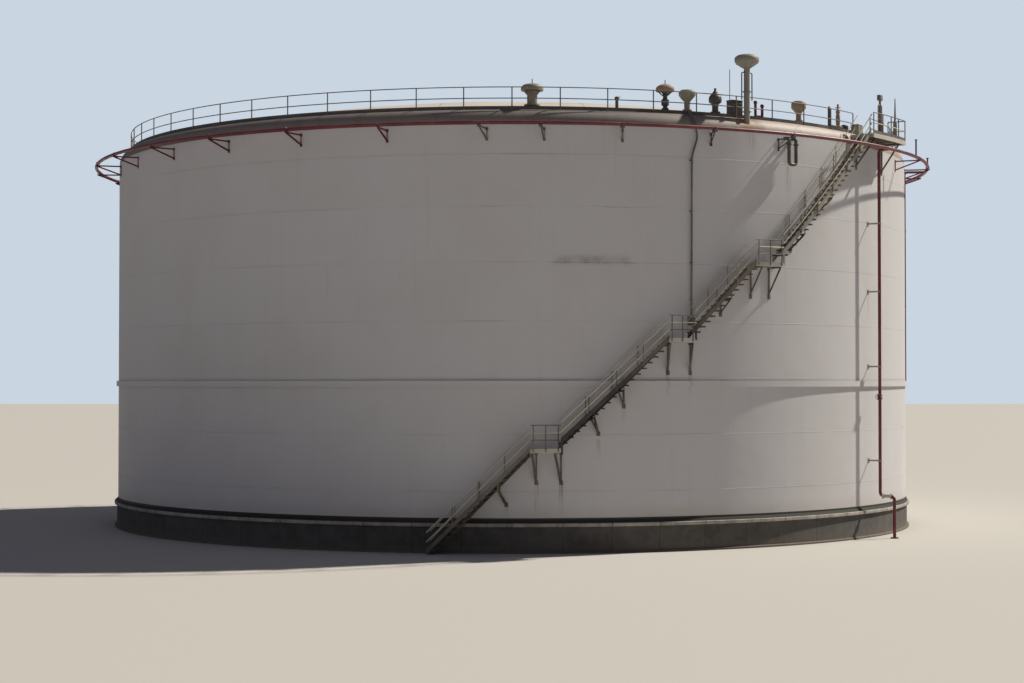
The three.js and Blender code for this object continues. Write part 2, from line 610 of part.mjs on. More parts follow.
// Upright posts and level rails on the outer edge of a landing, joined to its frame.
function landingRails(landing, outerRadius) {
  const run = (landing.to - landing.from) * DEGREE * outerRadius;
  const heights = LANDING_RAIL_SHARES.map((share) => share * LANDING_RAIL_HEIGHT);
  const pieces = [];
  for (let i = 0; i < LANDING_POSTS; i++) {
    const x = LANDING_POST_INSET + (i * (run - 2 * LANDING_POST_INSET)) / (LANDING_POSTS - 1);
    pieces.push(strip(x - POST_WIDTH / 2, x + POST_WIDTH / 2, POST_WIDTH, SEAM,
      landing.height - FLOOR_FRAME_DEPTH * 0.8, landing.height + heights[0]));
  }
  for (const height of heights) {
    pieces.push(strip(0, run, POST_WIDTH / 2 + RAIL_WIDTH / 2, RAIL_WIDTH / 2 - POST_WIDTH / 2,
      landing.height + height - RAIL_WIDTH, landing.height + height, LANDING_POSTS - 1));
  }
  return pieces.map((piece) => wrap(piece, outerRadius, landing.from));
}

const belowGround = toSolid(
  new THREE.BoxGeometry(60 * M, 60 * M, 4 * M).translate(0, 0, -2 * M),
);
const stops = [
  { to: STAIR_FOOT_ANGLE, height: 0 },
  ...LANDINGS,
  { from: PLATFORM.from, height: PLATFORM.height },
];
FLIGHTS.forEach(({ startLift, endLift, braces }, i) => {
  const [low, high] = [stops[i], stops[i + 1]];
  const line = flightLine(low.to, high.from, low.height + startLift, high.height + endLift);
  const steps = flight(line, low.height, braces, [belowGround]);
  addPiece(`stair_flight_${i + 1}`, steps, paint.galvanised);
  addPiece(`stair_handrail_${i + 1}`, flightHandrail(line, false), paint.galvanised);
  addPiece(`stair_inner_rail_${i + 1}`, flightHandrail(line, true), paint.galvanised);
});
for (const landing of LANDINGS) {
  const floor = landingFloor(landing, STAIR_INNER_RADIUS, STAIR_OUTER_RADIUS);
  const rails = landingRails(landing, STAIR_OUTER_RADIUS);
  addPiece(landing.name, join([...floor, ...rails], [wallFill]), paint.galvanised);
}

// The platform at the top of the stair, on the roof's rounded edge.
const platformFloor = landingFloor(PLATFORM, PLATFORM_INNER_RADIUS, PLATFORM.outerRadius);
addPiece("top_platform", join(platformFloor, [bodyFill]), paint.galvanised);
function platformRailing() {
  const run = (PLATFORM.to - PLATFORM.from) * DEGREE * PLATFORM.outerRadius;
  const width = PLATFORM.outerRadius - PLATFORM_INNER_RADIUS;
  const base = PLATFORM.height + SEAM;
  const top = PLATFORM.height + RAILING_HEIGHT;
  const endReach = PLATFORM_END_SHARE * width;
  const pieces = [];
  for (let i = 0; i <= PLATFORM_SPANS; i++) {
    const x = POST_WIDTH + (i * (run - 2 * POST_WIDTH)) / PLATFORM_SPANS;
    pieces.push(strip(x - POST_WIDTH / 2, x + POST_WIDTH / 2, 0, POST_WIDTH, base, top));
  }
  const end = run - POST_WIDTH;
  pieces.push(strip(end - POST_WIDTH / 2, end + POST_WIDTH / 2, -endReach, endReach + POST_WIDTH,
    base, top));
  for (const height of [top, top - RAILING_HEIGHT / 2, base + TOE_PLATE_HEIGHT]) {
    const depth = height < top - RAILING_HEIGHT * 0.6 ? TOE_PLATE_HEIGHT : RAIL_WIDTH;
    const bottom = height - depth;
    pieces.push(strip(POST_WIDTH, end, -POST_WIDTH * 0.2, POST_WIDTH * 0.8, bottom, height,
      PLATFORM_SPANS));
    pieces.push(strip(end - RAIL_WIDTH / 2, end + RAIL_WIDTH / 2, 0, endReach + POST_WIDTH / 2,
      bottom, height));
  }
  return join(pieces.map((piece) => wrap(piece, PLATFORM.outerRadius, PLATFORM.from)), [bodyFill]);
}
addPiece("platform_railing", platformRailing(), paint.galvanised);

// The ring main, in quarters with their brackets.
const MAIN_START = -10;
const MAIN_QUARTERS = 4;
function mainArc(start, radius, ends) {
  const length = (360 / MAIN_QUARTERS) * DEGREE * MAIN_RADIUS - 2 * ends;
  const tube = new THREE.CylinderGeometry(radius, radius, length, 6, FACETS / MAIN_QUARTERS);
  tube.rotateZ(-Math.PI / 2).translate(length / 2 + ends, 0, MAIN_HEIGHT);
  return wrap(tube, MAIN_RADIUS, start);
}
const mainBrackets = [...MAIN_BRACKETS_SEEN];
const firstUnseen = PLATFORM.to + 5.5;
const lastUnseen = 360 + MAIN_BRACKETS_SEEN[0].angle - MAIN_BRACKET_STEP;
const unseenSpans = Math.round((lastUnseen - firstUnseen) / MAIN_BRACKET_STEP);
for (let i = 0; i <= unseenSpans; i++) {
  mainBrackets.push({ angle: firstUnseen + (i * (lastUnseen - firstUnseen)) / unseenSpans, lean: 0 });
}
for (let i = 0; i < MAIN_QUARTERS; i++) {
  const start = MAIN_START + (i * 360) / MAIN_QUARTERS;
  const end = start + 360 / MAIN_QUARTERS;
  const holds = (angle) => angle >= start && angle < end;
  const pieces = [mainArc(start, MAIN_PIPE, SEAM / 2)];
  const armHeight = MAIN_HEIGHT - MAIN_PIPE;
  for (const { angle, lean } of mainBrackets.filter((bracket) => holds(bracket.angle))) {
    pieces.push(...wallBracket(angle, MAIN_RADIUS, armHeight, MAIN_BRACKET_DROP, MAIN_ARM_WIDTH, lean));
  }
  for (const angle of MAIN_HANGERS.filter(holds)) {
    const inner = PLATFORM.outerRadius - HANGER.inset;
    const top = PLATFORM.height - FLOOR_FRAME_DEPTH - SEAM;
    pieces.push(
      bar(polar(angle, inner, MAIN_HEIGHT), polar(angle, MAIN_RADIUS, MAIN_HEIGHT), HANGER.arm),
      bar(polar(angle, inner, MAIN_HEIGHT - HANGER.arm / 2), polar(angle, inner, top), HANGER.rod),
    );
  }
  for (const upstand of MAIN_UPSTANDS.filter(({ angle }) => holds(angle))) {
    const base = polar(upstand.angle, MAIN_RADIUS, MAIN_HEIGHT);
    pieces.push(pipe(base, base.clone().setZ(MAIN_HEIGHT + upstand.height), UPSTAND_PIPE, 6));
  }
  addPiece(`ring_main_${i + 1}`, join(pieces, [wallFill]), paint.red);
}

// The riser that feeds the ring main. It steps out over the base and stands on a foot flange.
const mainFill = toSolid(mainArc(MAIN_START, MAIN_PIPE + SEAM, 0)).add(
  toSolid(mainArc(MAIN_START + 360 / MAIN_QUARTERS, MAIN_PIPE + SEAM, 0)),
);
const teeRadius = MAIN_RADIUS - MAIN_PIPE * 0.8;
function wallClips(angle, reach, clips) {
  return clips.heights.map((height) =>
    bar(polar(angle, SHELL_RADIUS - WALL_BITE, height), polar(angle, reach, height), clips.width),
  );
}
const valve = polar(RISER.angle, RISER.radius, RISER_VALVE.height);
const valveStem = valve.z + RISER_VALVE.length / 2;
addPiece(
  "riser",
  join(
    [
      ...pipeRun(
        [
          polar(RISER.angle, teeRadius, MAIN_HEIGHT),
          polar(RISER.angle, RISER.radius, MAIN_HEIGHT),
          polar(RISER.angle, RISER.radius, RISER.jogHeight),
          polar(RISER.angle, RISER.footRadius, RISER.jogHeight),
          polar(RISER.angle, RISER.footRadius, RISER_FOOT.thickness / 2),
        ],
        RISER.pipe,
      ),
      ...wallClips(RISER.angle, RISER.radius, RISER_CLIPS),
      flangeAt(valve, RISER_VALVE.radius, RISER_VALVE.length, 8),
      pipe(
        valve.clone().setZ(valveStem),
        polar(RISER.angle - RISER_VALVE.stemTurn, RISER.radius, valveStem),
        RISER_VALVE.stem,
        6,
      ),
      flangeAt(polar(RISER.angle, RISER.footRadius, 0), RISER_FOOT.radius, RISER_FOOT.thickness),
    ],
    [wallFill, mainFill],
  ),
  paint.red,
);

// The second riser, which stands on the stiffening ring.
addPiece(
  "side_riser",
  join(
    [
      ...pipeRun(
        [
          polar(SIDE_RISER.angle, teeRadius, MAIN_HEIGHT),
          polar(SIDE_RISER.angle, SIDE_RISER.radius, MAIN_HEIGHT),
          polar(SIDE_RISER.angle, SIDE_RISER.radius, STIFFENER_TOP + SEAM),
        ],
        SIDE_RISER.pipe,
      ),
      ...wallClips(SIDE_RISER.angle, SIDE_RISER.radius, SIDE_RISER_CLIPS),
    ],
    [wallFill, mainFill],
  ),
  paint.red,
);

// The dark loop of pipe that hangs below the roof's edge.
const loopRoot = SHELL_RADIUS - WALL_BITE;
addPiece(
  "loop_pipe",
  join(
    pipeRun(
      [
        polar(LOOP.left, loopRoot, LOOP.top),
        polar(LOOP.left, LOOP.radius, LOOP.top),
        polar(LOOP.left, LOOP.radius, LOOP.bottom),
        polar(LOOP.right, LOOP.radius, LOOP.bottom),
        polar(LOOP.right, LOOP.radius, LOOP.top),
        polar(LOOP.right, loopRoot, LOOP.top),
      ],
      LOOP.pipe,
    ),
    [wallFill],
  ),
  paint.darkSteel,
);

// The cable pipe from the roof's edge down to a junction box above the second landing. It bends
// off to one side below the edge, as the real one does.
const conduitRun = [
  ...CONDUIT_BENDS.map(({ angle, radius, height }) => polar(angle, radius, height)),
  polar(JUNCTION_BOX.angle, CONDUIT.radius, JUNCTION_BOX.top - CONDUIT.pipe),
];
const junctionBox = wrap(
  strip(-JUNCTION_BOX.width / 2, JUNCTION_BOX.width / 2, JUNCTION_BOX.depth, WALL_BITE,
    JUNCTION_BOX.bottom, JUNCTION_BOX.top),
  SHELL_RADIUS,
  JUNCTION_BOX.angle,
);
const conduitClips = CONDUIT_CLIPS.heights.map((height) =>
  wrap(
    strip(-CONDUIT_CLIPS.width / 2, CONDUIT_CLIPS.width / 2, CONDUIT_CLIPS.reach, WALL_BITE, height,
      height + CONDUIT_CLIPS.height),
    SHELL_RADIUS,
    CONDUIT_CLIPS.angle,
  ),
);
addPiece(
  "cable_conduit",
  join([...pipeRun(conduitRun, CONDUIT.pipe), junctionBox, ...conduitClips], [bodyFill]),
  paint.darkSteel,
);

// Fittings are drawn upright at the origin, then turned and moved to their place. Those on the
// roof start below its surface and are trimmed by it.
const box = (width, depth, bottom, top, x = 0, y = 0) =>
  new THREE.BoxGeometry(width, depth, top - bottom).translate(x, y, (top + bottom) / 2);
const post = (radius, bottom, top, x = 0, y = 0, facets = 8) =>
  turned([[0, bottom], [radius, bottom], [radius, top], [0, top]], facets).translate(x, y, 0);
function placed(pieces, angle, radius, height) {
  const foot = polar(angle, radius, height);
  return pieces.map((piece) => piece.rotateZ(angle * DEGREE).translate(foot.x, foot.y, foot.z));
}
function addRoofFitting(name, angle, radius, pieces, finish) {
  const height = roofHeightAt(Math.min(radius, ROOF_EDGE_RADIUS));
  addPiece(name, join(placed(pieces, angle, radius, height), [bodyFill]), finish);
}

// Turns a fitting's outline, from the foot of its neck to its top.
function turnedOutline(outline, foot, facets) {
  const steps = outline.map(([radius, height]) => [radius * M, height * M]);
  return turned([[0, foot], [steps[0][0], foot], ...steps, [0, steps.at(-1)[1]]], facets);
}
for (const { name, angle, radius, facets, finish, outline } of VENTS) {
  addRoofFitting(name, angle, radius, [turnedOutline(outline, -NECK_DEPTH, facets)], paint[finish]);
}
addRoofFitting("antenna_box", ANTENNA_BOX.angle, ANTENNA_BOX.radius,
  [
    box(ANTENNA_BOX.width, ANTENNA_BOX.depth, -NECK_DEPTH, ANTENNA_BOX.top),
    post(ANTENNA_BOX.rod, 0, ANTENNA_BOX.rodTop, ANTENNA_BOX.rodOffset, 0, 6),
  ],
  paint.darkSteel);
addRoofFitting("hydrant_posts", HYDRANTS.angle, HYDRANTS.radius,
  [
    ...HYDRANTS.offsets.map((x, i) => post(HYDRANTS.pipe, -NECK_DEPTH, HYDRANTS.tops[i], x)),
    box(HYDRANTS.tie.width, HYDRANTS.tie.depth, HYDRANTS.tie.bottom, HYDRANTS.tie.top),
  ],
  paint.red);
const valveTie = VALVE_SET.tie;
addRoofFitting("valve_set", VALVE_SET.angle, VALVE_SET.radius,
  [
    ...VALVE_SET.posts.map(({ offset, radius, top }) => post(radius, -NECK_DEPTH, top, offset)),
    box(valveTie.right - valveTie.left, valveTie.depth, valveTie.bottom, valveTie.top,
      (valveTie.left + valveTie.right) / 2),
  ],
  paint.darkSteel);
const equipmentLegs = [[-1, -1], [-1, 1], [1, -1], [1, 1]];
addRoofFitting("equipment_box", EQUIPMENT.angle, EQUIPMENT.radius,
  [
    box(EQUIPMENT.width, EQUIPMENT.depth, EQUIPMENT.bottom, EQUIPMENT.top),
    ...equipmentLegs.map(([x, y]) =>
      post(EQUIPMENT.leg, -NECK_DEPTH, EQUIPMENT.legTop, x * EQUIPMENT.legX, y * EQUIPMENT.legY)),
  ],
  paint.darkSteel);

// The tall vent on the roof's rounded edge, outside the railing, with a hanging rod on each side.
const rodReach = STACK_RODS.reach;
addPiece(
  "vent_stack",
  join(
    placed(
      [
        turnedOutline(STACK.outline, STACK.foot, STACK.facets),
        box(STACK_RODS.width, STACK_RODS.width, STACK_RODS.bottom, STACK_RODS.top, -rodReach),
        box(STACK_RODS.width, STACK_RODS.width, STACK_RODS.bottom, STACK_RODS.top, rodReach),
        box(rodReach * 2 + STACK_RODS.width, STACK_RODS.width, STACK_RODS.top - STACK_RODS.width,
          STACK_RODS.top),
      ],
      STACK.angle,
      STACK.radius,
      0,
    ),
    [bodyFill],
  ),
  paint.vent,
);

// Masts that stand on the platform's floor.
const floorTop = PLATFORM.height + SEAM;
const { lamp } = FLOODLIGHT;
addPiece(
  "floodlight_mast",
  join(
    placed(
      [
        post(FLOODLIGHT.mast, 0, FLOODLIGHT.top),
        post(FLOODLIGHT.base, 0, MAST_BASE_THICKNESS),
        box(lamp.width, lamp.depth, lamp.bottom, lamp.top),
        box(HOOP.width, HOOP.width, 0, HOOP.top, -HOOP.reach),
        box(HOOP.width, HOOP.width, 0, HOOP.top, HOOP.reach),
        box(HOOP.reach * 2 + HOOP.width, HOOP.width, HOOP.top - HOOP.width, HOOP.top),
      ],
      FLOODLIGHT.angle,
      FLOODLIGHT.radius,
      floorTop,
    ),
  ),
  paint.galvanised,
);
addPiece(
  "whip_mast",
  join(
    placed(
      [
        turned([[0, 0], [WHIP.foot, 0], [WHIP.waist, WHIP.waistHeight], [WHIP.tip, WHIP.top], [0, WHIP.top]],
          8),
        post(WHIP.base, 0, MAST_BASE_THICKNESS),
      ],
      WHIP.angle,
      WHIP.radius,
      floorTop,
    ),
  ),
  paint.galvanised,
);

export default tank;
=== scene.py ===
import logging
import math
from dataclasses import dataclass
from enum import Enum
from typing import Callable, Iterable, Sequence, Union

import bmesh
import bpy
from mathutils import Matrix, Vector


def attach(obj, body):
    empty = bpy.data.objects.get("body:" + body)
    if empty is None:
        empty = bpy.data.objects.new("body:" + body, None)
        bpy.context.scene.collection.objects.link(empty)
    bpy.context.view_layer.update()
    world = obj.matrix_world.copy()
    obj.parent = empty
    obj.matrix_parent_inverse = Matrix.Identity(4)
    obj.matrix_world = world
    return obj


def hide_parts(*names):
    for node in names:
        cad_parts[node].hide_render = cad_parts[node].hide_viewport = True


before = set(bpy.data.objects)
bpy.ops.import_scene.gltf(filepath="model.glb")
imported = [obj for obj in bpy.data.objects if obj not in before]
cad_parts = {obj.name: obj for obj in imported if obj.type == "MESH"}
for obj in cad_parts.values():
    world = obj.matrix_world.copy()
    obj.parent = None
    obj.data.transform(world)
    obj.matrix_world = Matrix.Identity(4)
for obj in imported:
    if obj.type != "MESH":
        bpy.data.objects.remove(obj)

M: float = 0.5
LOG = logging.getLogger("tank")

SHELL_RADIUS = 23.0 * M
SHELL_BOTTOM = 1.59 * M
SHELL_TOP = 20.6 * M
SEAM_HEIGHTS = tuple(h * M for h in (2.95, 5.65, 8.36, 11.1, 13.92, 16.6, 19.12))
PLATES_PER_COURSE = 16
ROUND_SIDES = 240
KNUCKLE = 0.75 * M
ROOF_EDGE_RADIUS = SHELL_RADIUS - KNUCKLE
ROOF_EDGE_HEIGHT = SHELL_TOP + KNUCKLE
ROOF_RISE = 2.6 * M
STIFFENER_BOTTOM, STIFFENER_TOP = 7.95 * M, 8.25 * M
STAIR_INNER, STAIR_OUTER = 23.25 * M, 24.05 * M
STAIR_MIDDLE = (STAIR_INNER + STAIR_OUTER) / 2
SLAB_BOTTOM, SLAB_TOP = 1.27 * M, 1.44 * M
PLATFORM_HEIGHT = 21.12 * M
TOE_PLATE = 0.16 * M
MAIN_RADIUS, MAIN_HEIGHT, MAIN_PIPE = 24.3 * M, 20.45 * M, 0.09 * M

ROOTED = -0.16  # how far the roof's fittings reach down into it
RUST = (0.22, 0.10, 0.045)
BUMP_STRENGTH = 0.8
UP = Vector((0, 0, 1))
TINY = 1e-6  # a length under this is none

Colour = tuple[float, float, float]
Number = Union["Value", float]
Place = tuple[float, float, float]
Section = Sequence[tuple[float, float]]


def polar(angle: float, radius: float, height: float) -> Vector:
    """A point at an angle in degrees, a distance from the axis and a height."""
    turn = math.radians(angle)
    return Vector((radius * math.sin(turn), -radius * math.cos(turn), height))


def placed(angle: float, radius: float, height: float) -> Matrix:
    """The place of something drawn at the origin with +X along the wall and -Y outwards."""
    return Matrix.Translation(polar(angle, radius, height)) @ Matrix.Rotation(math.radians(angle), 4, "Z")


def sweep(start: float, end: float, radius: float, low: float, high: float, steps: int) -> list[Vector]:
    """The places along a path round the tank, level or rising, with both of its ends."""
    return [polar(start + (end - start) * k / steps, radius, low + (high - low) * k / steps)
            for k in range(steps + 1)]


def circle(radius: float, count: int, at: Matrix = Matrix()) -> list[Vector]:
    """Evenly spaced places on a level circle."""
    turns = (2 * math.pi * k / count for k in range(count))
    return [at @ Vector((radius * math.cos(t), radius * math.sin(t), 0)) for t in turns]


def roof_height(radius: float) -> float:
    """The height of the roof's surface at a distance from the axis."""
    share = min(radius, ROOF_EDGE_RADIUS) / ROOF_EDGE_RADIUS
    return ROOF_EDGE_HEIGHT + ROOF_RISE * (1 - share**2)


# Shader and geometry node trees


def operator(operation: str, swapped: bool = False) -> Callable[["Value", "Number"], "Value"]:
    """Makes a method of Value that adds a Math node.

    Args:
        operation: the node's operation.
        swapped: whether the value itself comes second.
    Returns:
        The method.
    """
    def method(self: "Value", other: "Number") -> "Value":
        """The result of the operation."""
        pair = (other, self) if swapped else (self, other)
        return self.graph.value("ShaderNodeMath", {"operation": operation}, dict(enumerate(pair)))
    return method


class Value:
    """A number that flows out of a node. Sums and products of values add Math nodes."""

    __add__ = __radd__ = operator("ADD")
    __sub__, __rsub__ = operator("SUBTRACT"), operator("SUBTRACT", True)
    __mul__ = __rmul__ = operator("MULTIPLY")
    __truediv__ = operator("DIVIDE")

    def __init__(self, graph: "Graph", socket: bpy.types.NodeSocket) -> None:
        """Args: graph: the tree that the socket is in. socket: the output that carries the number."""
        self.graph = graph
        self.socket = socket

    def math(self, operation: str, *others: Number) -> "Value":
        """Args: operation: a Math node's operation. others: its further operands. Returns: the result."""
        values = dict(enumerate((self, *others)))
        return self.graph.value("ShaderNodeMath", {"operation": operation}, values)

    def __abs__(self) -> "Value":
        """The absolute value."""
        return self.math("ABSOLUTE")

    def off_whole(self) -> "Value":
        """How far it is from the nearest whole number."""
        return abs(self - self.math("ROUND"))

    def step(self, low: float, high: float) -> "Value":
        """A smooth step, either way round.

        Args:
            low: where it is 0.
            high: where it is 1.
        Returns:
            The step.
        """
        if low > high:
            return 1 - self.step(high, low)
        settings = {"interpolation_type": "SMOOTHSTEP"}
        return self.graph.value("ShaderNodeMapRange", settings, {"Value": self, 1: low, 2: high})


class Graph:
    """A node tree under construction."""

    def __init__(self, tree: bpy.types.NodeTree) -> None:
        """Args: tree: the tree to add nodes to."""
        self.tree = tree

    def node(self, kind: str, settings: dict | None = None, values: dict | None = None) -> bpy.types.Node:
        """Adds one node.

        Args:
            kind: the node's type.
            settings: its properties, set first.
            values: numbers, values, sockets or data for its inputs, by name or place.
        Returns:
            The node.
        """
        made = self.tree.nodes.new(kind)
        for key, setting in (settings or {}).items():
            setattr(made, key, setting)
        for key, given in (values or {}).items():
            if isinstance(given, Value):
                self.tree.links.new(given.socket, made.inputs[key])
            elif isinstance(given, bpy.types.NodeSocket):
                self.tree.links.new(given, made.inputs[key])
            else:
                made.inputs[key].default_value = given
        return made

    def value(self, kind: str, settings: dict | None = None, values: dict | None = None) -> Value:
        """Adds one node and returns its first output as a value."""
        return Value(self, self.node(kind, settings, values).outputs[0])

    def vector(self, x: Number, y: Number, z: Number) -> Value:
        """A vector from three numbers."""
        return self.value("ShaderNodeCombineXYZ", None, {0: x, 1: y, 2: z})

    def noise(self, at: Value, scale: float, detail: float = 4.0, rough: float = 0.55) -> Value:
        """Fractal noise from 0 to 1 round a half."""
        return self.value("ShaderNodeTexNoise", None,
                          {"Vector": at, "Scale": scale, "Detail": detail, "Roughness": rough})

    def layers(self, colour: Value | Colour, *coats: tuple[Number, Value | Colour]) -> Value:
        """Lays coats of paint or dirt over a colour.

        Args:
            colour: the colour below.
            coats: each coat's share and colour, in order.
        Returns:
            The colour that shows.
        """
        for share, coat in coats:
            values = {k: (*c, 1.0) if isinstance(c, tuple) else c for k, c in ((6, colour), (7, coat))}
            made = self.node("ShaderNodeMix", {"data_type": "RGBA"}, {0: share, **values})
            colour = Value(self, made.outputs[2])
        return colour


@dataclass(frozen=True)
class Surface:
    """What a finish's pattern reads: the place on the object and numbers worked out from it."""

    place: Value
    x: Value
    y: Value
    height: Value
    turn: Value
    streak: Value
    grime: Value


Pattern = tuple[Value, Value, Value]


@dataclass(frozen=True)
class Finish:
    """One finish of the tank. A subclass says how its colour, gloss and relief vary."""

    name: str
    slot: str
    colour: Colour
    roughness: float = 0.6
    metal: float = 0.0
    relief: float = 0.002

    def tone(self, factor: float) -> Colour:
        """The finish's own colour, made darker or lighter."""
        return tuple(min(c * factor, 1.0) for c in self.colour)

    def surface(self, graph: Graph) -> Surface:
        """Reads the place, and makes the run-off streaks and the grime that all finishes share.

        Args:
            graph: the finish's tree.
        Returns:
            The surface.
        """
        coords = graph.node("ShaderNodeTexCoord").outputs["Object"]
        parts = graph.node("ShaderNodeSeparateXYZ", None, {0: coords})
        x, y, z = (Value(graph, socket) for socket in parts.outputs)
        turn = x.math("ARCTAN2", y * -1.0) * (180 / math.pi)
        streak = graph.noise(graph.vector(x * 5.0, y * 5.0, z * 0.22), 1.0, 5.0, 0.62)
        grime = graph.noise(Value(graph, coords), 0.55, 6.0, 0.6)
        return Surface(Value(graph, coords), x, y, z, turn, streak, grime)

    def dress(self, graph: Graph, at: Surface) -> Pattern:
        """Even paint with a fine grain, some grime and some run-off.

        Args:
            graph: the finish's tree.
            at: the surface.
        Returns:
            Colour, roughness and the height of the relief.
        """
        fine = graph.noise(at.place, 40.0, 5.0)
        colour = graph.layers(self.colour, (at.grime.step(0.4, 0.7) * 0.6, self.tone(0.72)),
                              (at.streak.step(0.55, 0.75) * 0.35, self.tone(0.72)))
        return colour, fine * 0.16 + (self.roughness - 0.08), fine

    def material(self) -> bpy.types.Material:
        """Makes the finish's material, once.

        Returns:
            The material.
        """
        known = bpy.data.materials.get(f"tank_{self.name}")
        if known:
            return known
        made = bpy.data.materials.new(f"tank_{self.name}")
        made.use_nodes = True
        made.node_tree.nodes.clear()
        graph = Graph(made.node_tree)
        colour, rough, height = self.dress(graph, self.surface(graph))
        bump = graph.node("ShaderNodeBump", None, {
            "Strength": BUMP_STRENGTH, "Distance": self.relief, "Height": height})
        shader = graph.node("ShaderNodeBsdfPrincipled", None, {
            "Base Color": colour, "Roughness": rough, "Metallic": self.metal, "Normal": bump.outputs[0]})
        graph.node("ShaderNodeOutputMaterial", None, {"Surface": shader.outputs[0]})
        return made


@dataclass(frozen=True)
class Run:
    """A run of rust or dirt down the wall: its angle, and its top, length and width in real metres."""

    angle: float
    top: float
    length: float
    width: float = 0.16
    strength: float = 0.8


@dataclass(frozen=True)
class Smear:
    """Dirt along part of a level seam: its height in real metres, its ends and how dark it is."""

    height: float
    start: float
    end: float
    strength: float = 0.4
    spread: float = 0.05


@dataclass(frozen=True)
class ShellPaint(Finish):
    """Weathered white paint on welded plates, with seams, dull patches, smears and runs."""

    runs: tuple[Run, ...] = ()
    smears: tuple[Smear, ...] = ()

    def dress(self, graph: Graph, at: Surface) -> Pattern:
        """Plate by plate tone, weld seams that catch dirt, rain streaks and rust runs.

        Args:
            graph: the finish's tree.
            at: the surface.
        Returns:
            Colour, roughness and the height of the relief.
        """
        course: Number = 0.0
        off_level: Value = at.height * 0.0 + 9.0
        for height in SEAM_HEIGHTS:
            course = at.height.math("GREATER_THAN", height) + course
            off_level = off_level.math("MINIMUM", abs(at.height - height))
        around = at.turn / (360 / PLATES_PER_COURSE) + course * 0.37
        tone = graph.value("ShaderNodeTexWhiteNoise", {"noise_dimensions": "2D"}, {
            "Vector": graph.vector(around.math("FLOOR"), course, 0.0)})
        plate_length = 2 * math.pi * SHELL_RADIUS / PLATES_PER_COURSE
        bead = off_level.math("MINIMUM", around.off_whole() * plate_length).step(0.022, 0.004)
        patchy = graph.noise(at.place, 0.35, 3.0).step(0.42, 0.62)
        colour = graph.layers(
            self.colour, (tone * 0.08, self.tone(0.9)),
            (at.grime.step(0.42, 0.72) * 0.22, (0.50, 0.47, 0.42)),
            (at.streak.step(0.55, 0.8) * 0.22, (0.46, 0.42, 0.36)),
            (off_level.step(0.05, 0.0) * patchy * 0.12, (0.24, 0.21, 0.18)),
            (bead * 0.06, (0.34, 0.31, 0.27)),
            (at.height.step(SHELL_BOTTOM + 0.45, SHELL_BOTTOM) * at.grime * 0.6, (0.40, 0.35, 0.28)),
            (at.height.step(SHELL_BOTTOM + 0.055, SHELL_BOTTOM + 0.04), (0.022, 0.02, 0.02)))
        ragged = graph.noise(graph.vector(at.x * 26.0, at.y * 26.0, at.height * 1.6), 1.0, 4.0)
        blotch = graph.noise(at.place, 1.5, 6.0, 0.7).step(0.36, 0.62) * 0.7 + 0.3
        for smear in self.smears:
            first = at.turn.step(smear.start - 0.8, smear.start + 0.4)
            mask = first * at.turn.step(smear.end + 0.8, smear.end - 0.4)
            mask = mask * abs(at.height - smear.height * M).step(smear.spread * M, 0.0) * blotch
            colour = graph.layers(colour, (mask * smear.strength, (0.19, 0.17, 0.16)))
        for run in self.runs:
            across = abs(at.turn - run.angle) * (math.radians(1) * SHELL_RADIUS)
            top = run.top * M
            fall = at.height.step(top - run.length * M, top) * at.height.step(top + 0.03, top)
            mask = across.step(run.width * M, 0.0) * fall * ragged.step(0.34, 0.6) * run.strength
            colour = graph.layers(colour, (mask, (0.20, 0.105, 0.05)))
        swell = graph.noise(at.place, 0.7, 2.0) * 5.0
        fine = graph.noise(at.place, 60.0, 4.0)
        return colour, fine * 0.14 + at.grime * 0.2 + 0.36, swell + bead * 0.2 + fine * 0.12


@dataclass(frozen=True)
class RoofPaint(Finish):
    """Dusty cream paint on lapped roof plates."""

    def dress(self, graph: Graph, at: Surface) -> Pattern:
        """Lap seams across the roof, dust, rust that creeps out of the seams, and a dark dirty knuckle with
        painted shade on the side turned from the key light.

        Args:
            graph: the finish's tree.
            at: the surface.
        Returns:
            Colour, roughness and the height of the relief.
        """
        width, length = 1.8, 5.0
        strip = at.x / (width * M * 2)
        sheet = at.y / (length * M * 2) + strip.math("FLOOR") * 0.5
        off = (strip.off_whole() * width).math("MINIMUM", sheet.off_whole() * length)
        flat = at.height.step(ROOF_EDGE_HEIGHT - 0.03, ROOF_EDGE_HEIGHT + 0.05)
        seam = off.step(0.03, 0.008) * flat
        side = 1 - flat
        # The knuckle's dirty dark paint is painted darker still on the side turned from the key light, and
        # lighter from about 18° round on its lit side: painted shade and painted light.
        painted_lit_side = at.turn.step(18.0, 36.0) * at.turn.step(175.0, 140.0)
        soot_and_painted_shade = graph.layers((0.18, 0.155, 0.148), (painted_lit_side, (0.37, 0.30, 0.27)))
        rusting = abs(at.turn - 31.2).step(2.6, 0.8) * side * graph.noise(at.place, 5.0, 5.0).step(0.3, 0.55)
        colour = graph.layers(
            self.colour, (at.grime.step(0.38, 0.7) * 0.45, (0.46, 0.39, 0.29)),
            (off.step(0.25, 0.0) * at.grime.step(0.5, 0.75) * flat * 0.7, (0.24, 0.14, 0.08)),
            (seam * 0.45, (0.28, 0.24, 0.2)), (side * 0.94, soot_and_painted_shade),
            (at.streak.step(0.46, 0.7) * side * 0.5, (0.17, 0.12, 0.095)), (rusting * 0.9, RUST))
        fine = graph.noise(at.place, 50.0, 5.0)
        return colour, fine * 0.2 + 0.5, fine * 0.3 + seam * 1.5


